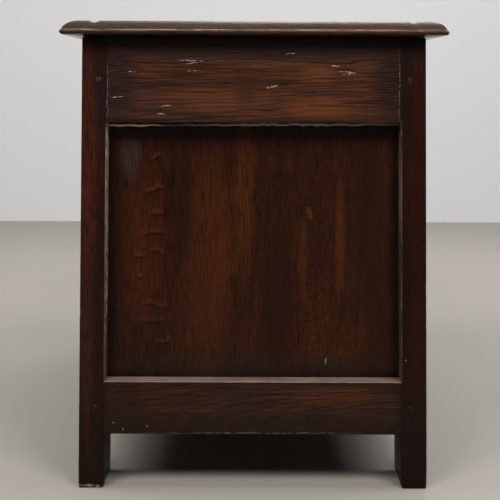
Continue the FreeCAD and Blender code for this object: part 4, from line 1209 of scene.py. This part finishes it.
# name, place, what it lights, size, power
LAMPS = (
    *[("key_" + name, (2.75, 1.3 * side, 2.95), (0.45, 0, 0.35), 1.3, 88) for name, side in SIDES],
    *[("side_" + name, (0.1, 2.7 * side, 2.6), (0, 0, 0.3), 1.6, 70) for name, side in SIDES],
    ("rear", (-2.5, 0.4, 2.7), (-0.4, 0, 0.3), 1.5, 60),
    ("ceiling", (0.0, 0.0, 3.5), (0, 0, 0), 2.5, 22),
)


def stage_material(name, color, rough, lit_reach):
    """Plain paint that the camera sees as bright beyond the lamps' reach as it is under them."""
    material, t, shader = new_material(name + "_paint")
    seen = t.add("LightPath").outputs["Is Camera Ray"]
    away = t.vector("LENGTH", t.place())
    beyond = t.times(t.step(away, lit_reach, UNLIT_SHARE * lit_reach), seen)
    t.fill(shader, Base_Color=t.blend(beyond, color, BLACK), Emission_Color=color, Emission_Strength=beyond,
           Roughness=rough, Specular_IOR_Level=PAINT_GLOSS)
    return material


def sheet(name, points, *paint):
    mesh = bpy.data.meshes.new(name)
    mesh.from_pydata(points, [], [tuple(range(len(points)))])
    mesh.materials.append(stage_material(name, *paint))
    add_object(name, mesh)


def stage():
    corners = ((-1, -1), (1, -1), (1, 1), (-1, 1))
    floor = [(x * FLOOR_REACH, y * FLOOR_REACH, 0) for x, y in corners]
    wall = [(WALL_X, y * WALL_HALF, (z + 1) / 2 * WALL_HIGH) for y, z in corners]
    sheet("floor", floor, FLOOR_COLOR, 0.7, FLOOR_LIT)
    sheet("backdrop", wall, WALL_COLOR, 0.9, WALL_LIT)


def area_light(name, place, target, size, power):
    data = bpy.data.lights.new(name, "AREA")
    data.shape = "SQUARE"
    data.size = size
    data.energy = power
    lamp = add_object(name, data)
    lamp.location = place
    lamp.rotation_mode = "QUATERNION"
    lamp.rotation_quaternion = (Vector(target) - Vector(place)).to_track_quat("-Z", "Y")


def room_light():
    """A dim room, which the camera sees as white and which metal reflects a little brighter."""
    world = bpy.data.worlds.new("room")
    bpy.context.scene.world = world
    world.use_nodes = True
    t = Tree(world.node_tree)
    paths = t.add("LightPath").outputs
    strength = t.math("MAXIMUM", AMBIENT_STRENGTH, t.times(paths["Is Glossy Ray"], REFLECTED_STRENGTH))
    seen = t.math("MAXIMUM", paths["Is Camera Ray"], paths["Is Transmission Ray"])
    t.fill(t.tree.nodes["Background"], Color=WALL_COLOR, Strength=t.math("MAXIMUM", strength, seen))


def camera():
    data = bpy.data.cameras.new("photo_camera")
    data.lens = CAMERA_LENS
    data.sensor_width = SENSOR
    data.sensor_fit = "HORIZONTAL"
    data.shift_y = CAMERA_SHIFT
    data.clip_start = 0.05
    data.clip_end = 100
    piece = add_object("photo_camera", data)
    piece.location = CAMERA_PLACE
    piece.rotation_euler = camera_turn().to_euler()
    bpy.context.scene.camera = piece


bpy.context.scene.view_settings.view_transform = "Standard"
end_frames()
stiles()
long_rails()
muntins()
long_panels()
drawer_fronts()
peg_heads()
lid()
kept_nodes()
stage()
room_light()
for lamp in LAMPS:
    area_light(*lamp)
camera()
